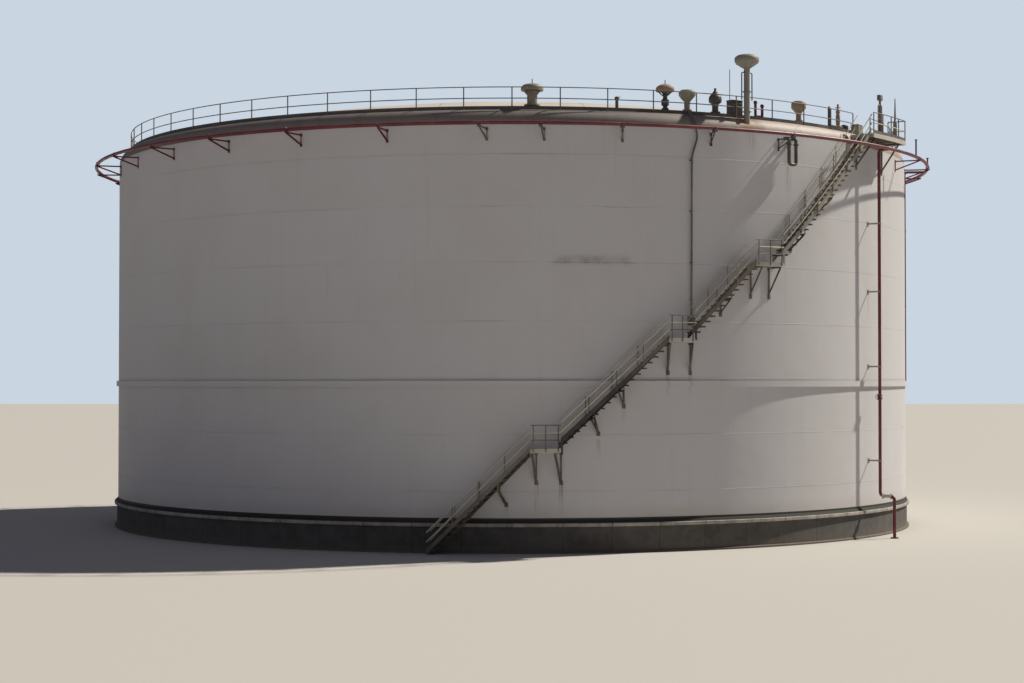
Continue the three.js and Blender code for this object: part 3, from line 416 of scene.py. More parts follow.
@dataclass(frozen=True)
class Concrete(Finish):
    """Cast concrete with shutter joints, stains, pores and run-off."""

    def dress(self, graph: Graph, at: Surface) -> Pattern:
        """Mottled cement, board joints every few metres, damp at the foot and dark run-off.

        Args:
            graph: the finish's tree.
            at: the surface.
        Returns:
            Colour, roughness and the height of the relief.
        """
        spacing = 6.0
        panel = at.turn / spacing
        joint = (panel.off_whole() * spacing).step(0.09, 0.02)
        cloud = graph.noise(at.place, 2.6, 7.0, 0.65)
        tone = graph.value("ShaderNodeTexWhiteNoise", {"noise_dimensions": "1D"}, {"W": panel.math("FLOOR")})
        colour = graph.layers(
            self.colour, (cloud.step(0.35, 0.68), self.tone(0.62)), (tone * 0.25, self.tone(1.35)),
            (at.streak.step(0.48, 0.72) * 0.55, (0.10, 0.09, 0.08)),
            (at.height.step(0.3, 0.0) * cloud * 0.7, (0.22, 0.17, 0.12)), (joint * 0.7, (0.07, 0.065, 0.06)))
        pores = graph.value("ShaderNodeTexVoronoi", {"feature": "F1"}, {"Vector": at.place, "Scale": 46.0})
        pit = pores.step(0.16, 0.04)
        return colour, cloud * 0.15 + 0.78, cloud * 1.4 - pit * 0.7 - joint * 2.0


@dataclass(frozen=True)
class Galvanised(Finish):
    """Dull zinc with its spangle, dust, and rust where the zinc has gone."""

    def dress(self, graph: Graph, at: Surface) -> Pattern:
        """Cells of slightly different grey, dust, and small rust spots.

        Args:
            graph: the finish's tree.
            at: the surface.
        Returns:
            Colour, roughness and the height of the relief.
        """
        cells = graph.node("ShaderNodeTexVoronoi", {"feature": "F1"}, {"Vector": at.place, "Scale": 90.0})
        grey = graph.value("ShaderNodeSeparateColor", None, {0: cells.outputs["Color"]})
        spots = graph.noise(at.place, 7.0, 6.0, 0.7).step(0.60, 0.72)
        colour = graph.layers(self.colour, (grey * 0.5, self.tone(1.22)),
                              (at.grime.step(0.35, 0.65) * 0.5, (0.36, 0.31, 0.24)), (spots * 0.75, RUST))
        return colour, grey * 0.15 + spots * 0.3 + (self.roughness - 0.08), grey * 0.3 + spots


@dataclass(frozen=True)
class PipePaint(Finish):
    """Faded pipe paint with chalky patches and chips down to the rust."""

    def dress(self, graph: Graph, at: Surface) -> Pattern:
        """Sun-bleached patches, and chips sunk into the paint.

        Args:
            graph: the finish's tree.
            at: the surface.
        Returns:
            Colour, roughness and the height of the relief.
        """
        chalk = graph.noise(at.place, 1.7, 4.0).step(0.42, 0.7)
        chips = graph.noise(at.place, 16.0, 6.0, 0.7).step(0.62, 0.66)
        pale = tuple(c + 0.04 for c in self.tone(1.5))
        colour = graph.layers(self.colour, (chalk * 0.55, pale), (chips * 0.85, (0.13, 0.06, 0.035)))
        fine = graph.noise(at.place, 70.0, 3.0)
        return colour, chalk * 0.2 + chips * 0.25 + self.roughness - 0.1, fine * 0.4 - chips * 1.2


@dataclass(frozen=True)
class FloorPaint(Finish):
    """The plain pale floor of the room."""

    def dress(self, graph: Graph, at: Surface) -> Pattern:
        """A barely varied tone and a fine grain."""
        fine = graph.noise(at.place, 3.0, 3.0)
        return graph.layers(self.colour, (fine * 0.08, self.tone(0.9))), fine * 0.1 + 0.8, fine


class Looks(Enum):
    """The finishes of the tank."""

    SHELL = ShellPaint("shell_paint", "shell_paint", (0.60, 0.59, 0.612), 0.5, 0.0, 0.004, runs=(
        Run(2.9, 3.35, 1.9), Run(5.85, 3.35, 1.9), Run(-0.7, 2.3, 0.8, strength=0.5),
        Run(10.4, 5.4, 1.2, strength=0.35), Run(13.5, 6.9, 0.9, strength=0.3),
        Run(19.15, 8.55, 1.4, strength=0.4), Run(22.15, 8.55, 1.4, strength=0.4),
        Run(31.1, 20.5, 1.1, 0.5, 0.45), Run(37.2, 19.0, 2.2, 0.3, 0.35), Run(55.0, 12.8, 2.0, strength=0.35),
    ), smears=(
        Smear(19.12, -1.0, 5.0, 0.3), Smear(16.6, -4.5, -2.0, 0.25), Smear(16.6, 11.0, 15.0, 0.3),
        Smear(13.92, 5.0, 15.0, 0.75), Smear(14.04, 5.5, 14.0, 0.6, 0.36), Smear(13.92, 15.0, 25.0, 0.2),
        Smear(11.1, -6.0, -1.5, 0.3),
    ))
    ROOF = RoofPaint("roof_paint", "roof_paint", (0.66, 0.60, 0.53), 0.6)
    # The ring wall's near-black colour is darker than its grey concrete: painted shade for the deep shade
    # under the slab's overhang.
    WALL = Concrete("ring_wall_concrete_painted_shade", "concrete", (0.095, 0.088, 0.083), 0.85, 0.0, 0.006)
    SLAB = Concrete("slab_concrete", "slab_concrete", (0.40, 0.37, 0.33), 0.85, 0.0, 0.004)
    BITUMEN = Finish("bitumen_seal", "bitumen", (0.02, 0.019, 0.018), 0.75, 0.0, 0.004)
    ZINC = Galvanised("galvanised_steel", "galvanised", (0.30, 0.285, 0.265), 0.55, 0.3, 0.0008)
    RAIL = Galvanised("dull_rail_steel", "galvanised", (0.105, 0.105, 0.105), 0.6, 0.2, 0.0008)
    STEP = Galvanised("dark_stair_steel", "galvanised", (0.055, 0.048, 0.046), 0.65, 0.1, 0.0008)
    OCHRE = Galvanised("weathered_rail_paint", "galvanised", (0.62, 0.58, 0.41), 0.6, 0.05, 0.0008)
    PALE_ZINC = Galvanised("stair_edge_steel", "galvanised", (0.56, 0.53, 0.49), 0.6, 0.1, 0.0008)
    RED = PipePaint("red_pipe_paint", "red_paint", (0.135, 0.021, 0.029), 0.5, 0.0, 0.001)
    DARK = PipePaint("dark_steel_paint", "dark_steel", (0.085, 0.078, 0.075), 0.6, 0.1, 0.001)
    VENT = Finish("vent_paint", "vent_paint", (0.29, 0.27, 0.225), 0.6, 0.0, 0.0015)
    RUSTY = Finish("rusty_vent_paint", "vent_paint", (0.36, 0.25, 0.175), 0.7, 0.0, 0.0015)
    TAN = Finish("tan_paint", "tan_paint", (0.35, 0.27, 0.215), 0.6, 0.0, 0.0015)
    GLASS = Finish("lamp_glass", "dark_steel", (0.42, 0.46, 0.50), 0.16, 0.3, 0.0003)


# Meshes


class Form:
    """A mesh under construction, in the tank's frame."""

    def __init__(self) -> None:
        """An empty form."""
        self.points: list[Vector] = []
        self.faces: list[tuple[int, ...]] = []

    def add(self, points: Iterable[Vector], faces: Iterable[Sequence[int]],
            at: Matrix | None = None) -> "Form":
        """Adds points and faces.

        Args:
            points: the corners.
            faces: each face's corners by number.
            at: where they go.
        Returns:
            The form itself.
        """
        first = len(self.points)
        self.points += [at @ Vector(p) if at else Vector(p) for p in points]
        self.faces += [tuple(first + i for i in face) for face in faces]
        return self

    def loft(self, rings: Sequence[Sequence[Vector]], closed: bool = False,
             at: Matrix | None = None) -> "Form":
        """Lays a skin over rings of equally many points.

        Args:
            rings: the rings in order.
            closed: whether it closes on itself, or else has flat ends.
            at: where it goes.
        Returns:
            The form itself.
        """
        size, count = len(rings[0]), len(rings)
        faces: list[tuple[int, ...]] = []
        for k in range(count if closed else count - 1):
            a, b = k * size, (k + 1) % count * size
            faces += [(a + i, a + (i + 1) % size, b + (i + 1) % size, b + i) for i in range(size)]
        if not closed:
            faces += [tuple(reversed(range(size))), tuple(range((count - 1) * size, count * size))]
        return self.add([p for ring in rings for p in ring], faces, at)

    def lathe(self, profile: Section, sides: int = 24, at: Matrix | None = None) -> "Form":
        """Turns a profile of (radius, height) round the upright axis.

        Args:
            profile: it starts and ends on the axis, or closes on itself.
            sides: how many flats go round.
            at: where it goes.
        Returns:
            The form itself.
        """
        solid = profile[0][0] < TINY
        loops: list[list[int]] = []
        points: list[Vector] = []
        for radius, height in profile:
            steps = 1 if radius < TINY else sides
            loops.append([len(points) + i for i in range(steps)])
            points += [polar(360 * i / sides, radius, height) for i in range(steps)]
        faces: list[tuple[int, ...]] = []
        for k in range(len(loops) - 1 if solid else len(loops)):
            low, high = loops[k], loops[(k + 1) % len(loops)]
            for i in range(sides):
                j = (i + 1) % sides
                corners = [low[i % len(low)], low[j % len(low)], high[j % len(high)], high[i % len(high)]]
                faces.append(tuple(dict.fromkeys(corners)))
        return self.add(points, [f for f in faces if len(f) > 2], at)

    def arc(self, section: Section, start: float, end: float, radius: float, low: float,
            high: float | None = None, pitch: float = 1.5) -> "Form":
        """Sweeps an upright section round the tank, level or rising.

        Args:
            section: corners as (outwards, up) from the path.
            start, end: the angles; a whole turn closes on itself.
            radius, low, high: the path's distance from the axis and its heights at both ends.
            pitch: degrees between rings.
        Returns:
            The form itself.
        """
        top = low if high is None else high
        whole = abs(end - start) >= 359.999
        steps = max(2, round(abs(end - start) / pitch))
        rings = []
        for k in range(steps if whole else steps + 1):
            share = k / steps
            angle, height = start + (end - start) * share, low + (top - low) * share
            rings.append([polar(angle, radius + out, height + up) for out, up in section])
        return self.loft(rings, whole)

    def tube(self, path: Sequence[Vector], radius: float, sides: int = 10, closed: bool = False) -> "Form":
        """Adds a round tube, square to its path everywhere.

        Args:
            path: the places that its middle goes through.
            radius: the tube's radius.
            sides: how many flats go round it.
            closed: whether the path closes on itself.
        Returns:
            The form itself.
        """
        count = len(path)
        rings = []
        up = UP
        for i, point in enumerate(path):
            before = path[i - 1] if i or closed else point
            after = path[(i + 1) % count] if i < count - 1 or closed else point
            along = (after - before).normalized()
            if abs(along.dot(up)) > 0.95:
                level = Vector((point.x, point.y, 0))
                up = level.normalized() if level.length > TINY else Vector((0, -1, 0))
            side = along.cross(up).normalized()
            up = side.cross(along).normalized()
            rings.append([point + radius * (math.cos(t) * side + math.sin(t) * up)
                          for t in (2 * math.pi * k / sides for k in range(sides))])
        return self.loft(rings, closed)

    def disc(self, radius: float, low: float, high: float, sides: int, at: Matrix | None = None) -> "Form":
        """An upright cylinder."""
        return self.lathe([(0, low), (radius, low), (radius, high), (0, high)], sides, at)

    def band(self, inner: float, outer: float, low: float, high: float, sides: int, at: Matrix) -> "Form":
        """An upright pipe with thick walls."""
        return self.lathe([(inner, low), (outer, low), (outer, high), (inner, high)], sides, at)

    def bolts(self, count: int, ring: float, size: float, low: float, high: float, at: Matrix) -> "Form":
        """Adds bolt heads in a ring.

        Args:
            count: how many there are.
            ring: the ring's radius.
            size: a head's radius.
            low, high: the heights of a head's foot and top.
            at: the ring's middle.
        Returns:
            The form itself.
        """
        for k in range(count):
            self.disc(size, low, high, 6, at @ placed(360 * k / count, ring, 0))
        return self

    def rod(self, start: Place, end: Place, radius: float, sides: int = 8, at: Matrix = Matrix()) -> "Form":
        """A straight round rod."""
        return self.tube([at @ Vector(start), at @ Vector(end)], radius, sides)

    def bar(self, start: Vector, end: Vector, section: Section) -> "Form":
        """Adds a straight bar.

        Args:
            start, end: its ends.
            section: its corners as (sideways, up).
        Returns:
            The form itself.
        """
        along = (end - start).normalized()
        up = UP if abs(along.z) < 0.97 else Vector((0, -1, 0))
        side = along.cross(up).normalized()
        rise = side.cross(along).normalized()
        return self.loft([[p + side * s + rise * u for s, u in section] for p in (start, end)])

    def box(self, size: Place, middle: Place, at: Matrix | None = None, edge: float = 0.0) -> "Form":
        """Adds a block.

        Args:
            size: its width, depth and height.
            middle: its middle.
            at: the place that the middle is given from.
            edge: how far its edges are cut back.
        Returns:
            The form itself.
        """
        (w, d, h), (x, y, z) = size, middle
        cut = min(edge, w / 3, d / 3, h / 3)
        outline = chamfered(w, d, cut)
        inner = chamfered(w - 2 * cut, d - 2 * cut, cut * 0.5)
        levels = [(inner, -h / 2), (outline, -h / 2 + cut), (outline, h / 2 - cut), (inner, h / 2)]
        if cut == 0:
            levels = [(outline, -h / 2), (outline, h / 2)]
        return self.loft([[Vector((x + a, y + b, z + c)) for a, b in ring] for ring, c in levels], at=at)

    def mesh(self, name: str, sharp: float = 35.0) -> bpy.types.Mesh:
        """Makes the form a mesh with its faces pointing out.

        Args:
            name: the mesh's name.
            sharp: edges past this angle stay crisp.
        Returns:
            The mesh.
        """
        made = bpy.data.meshes.new(name)
        made.from_pydata([tuple(p) for p in self.points], [], self.faces)
        work = bmesh.new()
        work.from_mesh(made)
        bmesh.ops.remove_doubles(work, verts=work.verts, dist=TINY)
        bmesh.ops.recalc_face_normals(work, faces=work.faces)
        work.to_mesh(made)
        work.free()
        made.shade_smooth()
        made.set_sharp_from_angle(angle=math.radians(sharp))
        return made

    def piece(self, name: str, look: Looks, *nodes: str, sharp: float = 35.0) -> bpy.types.Object:
        """Hands the form in as a piece. Args: nodes: the solids it stands for. Returns: the piece."""
        return hand_in(name, self.mesh(name, sharp), look, nodes)


def chamfered(width: float, depth: float, cut: float = 0.0) -> Section:
    """A rectangle round the origin.

    Args:
        width, depth: its size.
        cut: how far its corners are cut back.
    Returns:
        Its corners.
    """
    w, d = width / 2, depth / 2
    if cut <= 0:
        return [(-w, -d), (w, -d), (w, d), (-w, d)]
    return [(-w + cut, -d), (w - cut, -d), (w, -d + cut), (w, d - cut),
            (w - cut, d), (-w + cut, d), (-w, d - cut), (-w, -d + cut)]


def angle_section(leg: float, thickness: float) -> Section:
    """The section of an equal angle bar, its corner up and to one side."""
    end, face = leg / 2, leg / 2 - thickness
    return [(-end, end), (-end, face), (face, face), (face, -end), (end, -end), (end, end)]


def channel_section(depth: float, flange: float = 0.03, thickness: float = 0.006) -> Section:
    """The section of a channel whose back faces outwards.

    Args:
        depth: its height.
        flange: how wide its flanges are.
        thickness: how thick its steel is.
    Returns:
        Its corners as (outwards, up).
    """
    h, inside = depth / 2, depth / 2 - thickness
    return [(0, -h), (0, h), (-flange, h), (-flange, inside), (-thickness, inside), (-thickness, -inside),
            (-flange, -inside), (-flange, -h)]


def arch(half: float, low: float, high: float) -> list[Vector]:
    """The corners of an upside-down U that stands along the wall."""
    return [Vector((x, 0, z)) for x, z in ((-half, low), (-half, high), (half, high), (half, low))]


def rounded(path: Sequence[Vector], bend: float, steps: int = 6) -> list[Vector]:
    """Turns a path's corners into bends.

    Args:
        path: the path's corners.
        bend: how far from a corner it starts to turn.
        steps: how many straight pieces a bend has.
    Returns:
        The new path.
    """
    points = [path[0]]
    for before, corner, after in zip(path, path[1:], path[2:]):
        reach = min(bend, (before - corner).length * 0.45, (after - corner).length * 0.45)
        start = corner + (before - corner).normalized() * reach
        end = corner + (after - corner).normalized() * reach
        for k in range(steps + 1):
            t = k / steps
            points.append(start * (1 - t) ** 2 + corner * 2 * t * (1 - t) + end * t * t)
    return points + [path[-1]]


def hand_in(name: str, mesh: bpy.types.Mesh, look: Looks, nodes: Sequence[str] = ()) -> bpy.types.Object:
    """Makes a mesh a piece of the tank.

    Args:
        name: the piece's name.
        mesh: its mesh, in the tank's frame.
        look: its finish.
        nodes: the solids it stands for.
    Returns:
        The piece.
    """
    piece = bpy.data.objects.new(name, mesh)
    bpy.context.scene.collection.objects.link(piece)
    mesh.materials.clear()
    mesh.materials.append(look.value.material())
    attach(piece, "root")
    if nodes:
        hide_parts(*nodes)
    LOG.info("%s: %d faces, %s", name, len(mesh.polygons), look.name.lower())
    return piece


class Repeat:
    """Geometry Nodes that set copies of a small part round an axis, level or rising."""

    INPUTS = (("Part", "Object"), ("Finish", "Material"), ("Count", "Int"), ("Start", "Float"),
              ("Step", "Float"), ("Radius", "Float"), ("Height", "Float"), ("Rise", "Float"))

    def __init__(self) -> None:
        """Builds the tree once, with an input for each size."""
        tree = bpy.data.node_groups.new("repeat_round_axis", "GeometryNodeTree")
        add = tree.interface.new_socket
        self.keys = {name: add(name, in_out="INPUT", socket_type=f"NodeSocket{kind}").identifier
                     for name, kind in self.INPUTS}
        add("Geometry", in_out="OUTPUT", socket_type="NodeSocketGeometry")
        graph = Graph(tree)
        given = graph.node("NodeGroupInput").outputs
        number = graph.value("GeometryNodeInputIndex")
        step, start, radius, rise, height = (
            Value(graph, given[name]) for name in ("Step", "Start", "Radius", "Rise", "Height"))
        turn = (number * step + start) * (math.pi / 180)
        spot = graph.vector(turn.math("SINE") * radius, turn.math("COSINE") * radius * -1.0,
                            number * rise + height)
        spots = graph.node("GeometryNodePoints", None, {"Count": given["Count"], "Position": spot})
        part = graph.node("GeometryNodeObjectInfo", {"transform_space": "ORIGINAL"},
                          {"Object": given["Part"]})
        copies = graph.node("GeometryNodeInstanceOnPoints", None, {
            "Points": spots.outputs[0], "Instance": part.outputs["Geometry"],
            "Rotation": graph.vector(0.0, 0.0, turn)})
        real = graph.node("GeometryNodeRealizeInstances", None, {0: copies.outputs[0]})
        dressed = graph.node("GeometryNodeSetMaterial", None, {
            "Geometry": real.outputs[0], "Material": given["Finish"]})
        graph.node("NodeGroupOutput", None, {0: dressed.outputs[0]})
        self.tree = tree

    def make(self, name: str, form: Form, look: Looks, nodes: Sequence[str] = (), count: int = 1,
             **sizes: float) -> bpy.types.Object:
        """Sets copies of a form and makes them one piece.

        Args:
            name: the piece's name.
            form: the part, drawn at the origin with -Y outwards.
            look: its finish.
            nodes: the solids the piece stands for.
            count: how many copies there are.
            sizes: values for the tree's other inputs, by their names in small letters.
        Returns:
            The piece.
        """
        part = bpy.data.objects.new(f"{name}_part", form.mesh(f"{name}_part"))
        host = bpy.data.objects.new(f"{name}_host", bpy.data.meshes.new(f"{name}_host"))
        bpy.context.scene.collection.objects.link(host)
        live = host.modifiers.new("repeat", "NODES")
        live.node_group = self.tree
        given = {"Part": part, "Finish": look.value.material(), "Count": count,
                 **{key.title(): float(size) for key, size in sizes.items()}}
        for key, setting in given.items():
            live[self.keys[key]] = setting
        graph = bpy.context.evaluated_depsgraph_get()
        mesh = bpy.data.meshes.new_from_object(host.evaluated_get(graph))
        mesh.name = name
        for extra in (host, part):
            bpy.data.objects.remove(extra)
        return hand_in(name, mesh, look, nodes)


@dataclass
class Assembly:
    """A part of the tank that is built and dressed as one."""

    repeat: Repeat

    def build(self) -> None:
        """Makes the meshes of the assembly."""
        raise NotImplementedError


# The round body


@dataclass
class Base(Assembly):
    """The concrete ring wall, the slab that overhangs it and the black seal under the shell."""

    wall: float = 23.06 * M
    kerb: float = 23.18 * M
    kerb_height: float = 0.1 * M
    slab: float = 23.2 * M
    edge: float = 0.012
    seal: tuple[float, float] = (23.1 * M, 23.03 * M)

    def build(self) -> None:
        """Turns the three rings, with worn edges."""
        wall, kerb, top, slab, worn = self.wall, self.kerb, self.kerb_height, self.slab, self.edge
        wide, narrow = self.seal
        for name, look, node, profile in (
                ("ring_wall", Looks.WALL, "foundation_wall", [
                    (0, 0), (kerb, 0), (kerb, top - worn), (kerb - worn, top), (wall, top + worn),
                    (wall, SLAB_BOTTOM), (0, SLAB_BOTTOM)]),
                ("slab_edge", Looks.SLAB, "base_slab", [
                    (0, SLAB_BOTTOM), (slab - worn, SLAB_BOTTOM), (slab, SLAB_BOTTOM + worn),
                    (slab, SLAB_TOP - worn), (slab - worn, SLAB_TOP), (0, SLAB_TOP)]),
                ("bottom_seal", Looks.BITUMEN, "bottom_plate", [
                    (0, SLAB_TOP), (wide, SLAB_TOP), (narrow, SHELL_BOTTOM), (0, SHELL_BOTTOM)])):
            Form().lathe(profile, ROUND_SIDES).piece(name, look, node)


@dataclass
class Shell(Assembly):
    """The plated wall and the stiffening ring on it."""

    plate: float = 0.03
    bead: float = 0.002
    bead_reach: float = 0.014
    ring_reach: float = 0.12 * M
    ring_half: float = 0.15 * M
    half_plate: float = 0.008
    gussets: int = 60

    def build(self) -> None:
        """Turns the wall with a weld bead at each seam, then the ring and its gussets."""
        outside: list[tuple[float, float]] = [(SHELL_RADIUS, SHELL_BOTTOM)]
        for z in SEAM_HEIGHTS:
            outside += [(SHELL_RADIUS, z - self.bead_reach), (SHELL_RADIUS + self.bead, z),
                        (SHELL_RADIUS, z + self.bead_reach)]
        inner = SHELL_RADIUS - self.plate
        profile = [*outside, (SHELL_RADIUS, SHELL_TOP), (inner, SHELL_TOP), (inner, SHELL_BOTTOM)]
        sectors = [f"shell_sector_{i}" for i in range(1, 7)]
        Form().lathe(profile, ROUND_SIDES).piece("shell_plates", Looks.SHELL, *sectors, sharp=8)
        level, half, thin = (STIFFENER_BOTTOM + STIFFENER_TOP) / 2, self.ring_half, self.half_plate
        reach, web = self.ring_reach, self.ring_reach - 0.012
        ring = [(-0.02, -thin), (web, -thin), (web, -half), (reach, -half), (reach, half), (web, half),
                (web, thin), (-0.02, thin)]
        Form().arc(ring, 0, 360, SHELL_RADIUS, level).piece(
            "stiffening_ring_plate", Looks.SHELL, "stiffening_ring", sharp=30)
        outline = ((0.01, -thin), (-web, -thin), (-web, -0.05), (0.01, -half))
        gusset = Form().loft([[Vector((x, y, z)) for y, z in outline] for x in (-0.006, 0.006)])
        self.repeat.make("stiffening_ring_gussets", gusset, Looks.SHELL, count=self.gussets, start=1.0,
                         step=360 / self.gussets, radius=SHELL_RADIUS, height=level)


@dataclass
class Crown(Assembly):
    """The rounded knuckle and the low dome."""

    steps: int = 10
    skin: float = 0.03
    inset: float = 0.996

    def build(self) -> None:
        """Turns knuckle and dome as one closed skin."""
        profile: list[tuple[float, float]] = []
        for i in range(self.steps + 1):
            turn = math.radians(90 * i / self.steps)
            profile.append((SHELL_RADIUS - KNUCKLE * (1 - math.cos(turn)),
                            SHELL_TOP + KNUCKLE * math.sin(turn)))
        for i in range(1, 3 * self.steps + 1):
            radius = ROOF_EDGE_RADIUS * (1 - i / (3 * self.steps))
            profile.append((radius, roof_height(radius)))
        underside = [(r * self.inset, z - self.skin) for r, z in profile]
        Form().lathe([*reversed(profile), *underside], ROUND_SIDES).piece(
            "roof_plates", Looks.ROOF, "roof_knuckle", "roof_dome", sharp=50)


@dataclass
class RoofRailing(Assembly):
    """Posts, two rails and the toe plate on the roof's edge."""

    radius: float = 22.35 * M
    tube: float = 0.025 * M
    height: float = 1.08 * M
    spacing: float = 6.0
    gate: tuple[float, float] = (54.0, 60.0)

    def build(self) -> None:
        """Makes the posts by repetition, and the rails and toe plate as sweeps."""
        nodes = [f"roof_railing_{i}" for i in range(1, 5)]
        post = Form().rod((0, 0, 0), (0, 0, self.height + 0.02), self.tube * 1.25)
        post.box((0.07, 0.05, 0.01), (0, 0, 0.045))
        self.repeat.make("roof_railing_posts", post, Looks.RAIL, nodes, count=round(360 / self.spacing),
                         step=self.spacing, radius=self.radius, height=ROOF_EDGE_HEIGHT - 0.02)
        rails = Form()
        for height in (ROOF_EDGE_HEIGHT + self.height, ROOF_EDGE_HEIGHT + self.height / 2):
            path = sweep(self.gate[1], 360 + self.gate[0], self.radius, height, height, 236)
            rails.tube(path, self.tube, 8)
        rails.piece("roof_railing_rails", Looks.RAIL, *nodes)
        plate = [(-0.006, -0.03), (0.006, -0.03), (0.006, TOE_PLATE), (-0.006, TOE_PLATE)]
        Form().arc(plate, 0, 360, self.radius, ROOF_EDGE_HEIGHT).piece("roof_toe_plate", Looks.DARK, *nodes)


# The stair


@dataclass(frozen=True)
class Flight:
    """One flight, along the middle of its outer stringer: its ends, the floor below and its braces."""

    number: int
    start: float
    end: float
    low: float
    high: float
    floor: float
    braces: tuple[tuple[float, float], ...]

    @property
    def turn(self) -> float:
        """How far it goes round the tank."""
        return self.end - self.start

    @property
    def rise(self) -> float:
        """How far it climbs."""
        return self.high - self.low

    def height(self, angle: float) -> float:
        """The height of the outer stringer's middle at an angle."""
        return self.low + (angle - self.start) / self.turn * self.rise

    def angle(self, height: float) -> float:
        """The angle at which the outer stringer's middle reaches a height."""
        return self.start + (height - self.low) / self.rise * self.turn


@dataclass(frozen=True)
class Landing:
    """One landing: its name, angles, height, its braces' drop, angles and leans, and its two radii."""

    name: str
    start: float
    end: float
    height: float
    drop: float
    braces: tuple[tuple[float, float], ...]
    inner: float = STAIR_INNER
    outer: float = STAIR_OUTER


def knee_brace(reach: float, drop: float, leg: float = 0.1 * M, lean: float = 0.0, arm_lean: float = 0.0,
               rise: float = 0.0) -> Form:
    """A knee bracket: a level arm, a strut, an upright on the wall, and bolted plates at both roots.

    Args:
        reach: how far the arm stands out from the wall.
        drop: how far below it the strut meets the wall.
        leg: the width of its angle bars.
        lean: how many degrees round the tank the strut's foot is from the arm's end.
        arm_lean: the same for the arm's own root.
        rise: the height of the post that stands on the arm's outer end.
    Returns:
        The bracket, drawn outwards from the origin.
    """
    section, light = angle_section(leg, leg * 0.16), angle_section(leg * 0.6, leg * 0.12)
    root, foot = (math.radians(turn) * SHELL_RADIUS for turn in (arm_lean, lean))
    form = Form().bar(Vector((root, 0.02, 0)), Vector((0, -reach, 0)), section)
    form.bar(Vector((foot, 0.02, -drop)), Vector((0, -reach * 0.95, -leg * 0.3)), section)
    form.bar(Vector((root, -leg * 0.3, 0)), Vector((foot, -leg * 0.3, -drop)), light)
    if rise:
        tip = -reach + leg * 0.4
        form.bar(Vector((0, tip, 0)), Vector((0, tip, rise)), light)
    outwards = Matrix.Rotation(math.pi / 2, 4, "X")
    for x, z in ((root, 0.0), (foot, -drop)):
        form.box((leg * 1.8, 0.012, leg * 2.1), (x, -0.004, z), edge=0.002)
        for side, up in ((-0.7, -0.8), (0.7, -0.8), (-0.7, 0.8), (0.7, 0.8)):
            spot = Matrix.Translation((x + side * leg, -0.01, z + up * leg))
            form.disc(0.008, 0, 0.008, 6, spot @ outwards)
    return form


def grating(width: float, depth: float, bars: int, thickness: float) -> Form:
    """A grating panel: bearing bars, thicker ones at its edges, and three rods through them.

    Args:
        width, depth, thickness: the panel's size.
        bars: how many bearing bars it has.
    Returns:
        The panel, its top at the origin.
    """
    form = Form()
    for i in range(bars):
        x = -width / 2 + width * i / (bars - 1)
        form.box((0.006 if 0 < i < bars - 1 else 0.012, depth, thickness), (x, 0, -thickness / 2))
    for y in (-0.3, 0.0, 0.3):
        form.box((width, 0.006, thickness * 0.5), (0, y * depth, -thickness * 0.3))
    return form


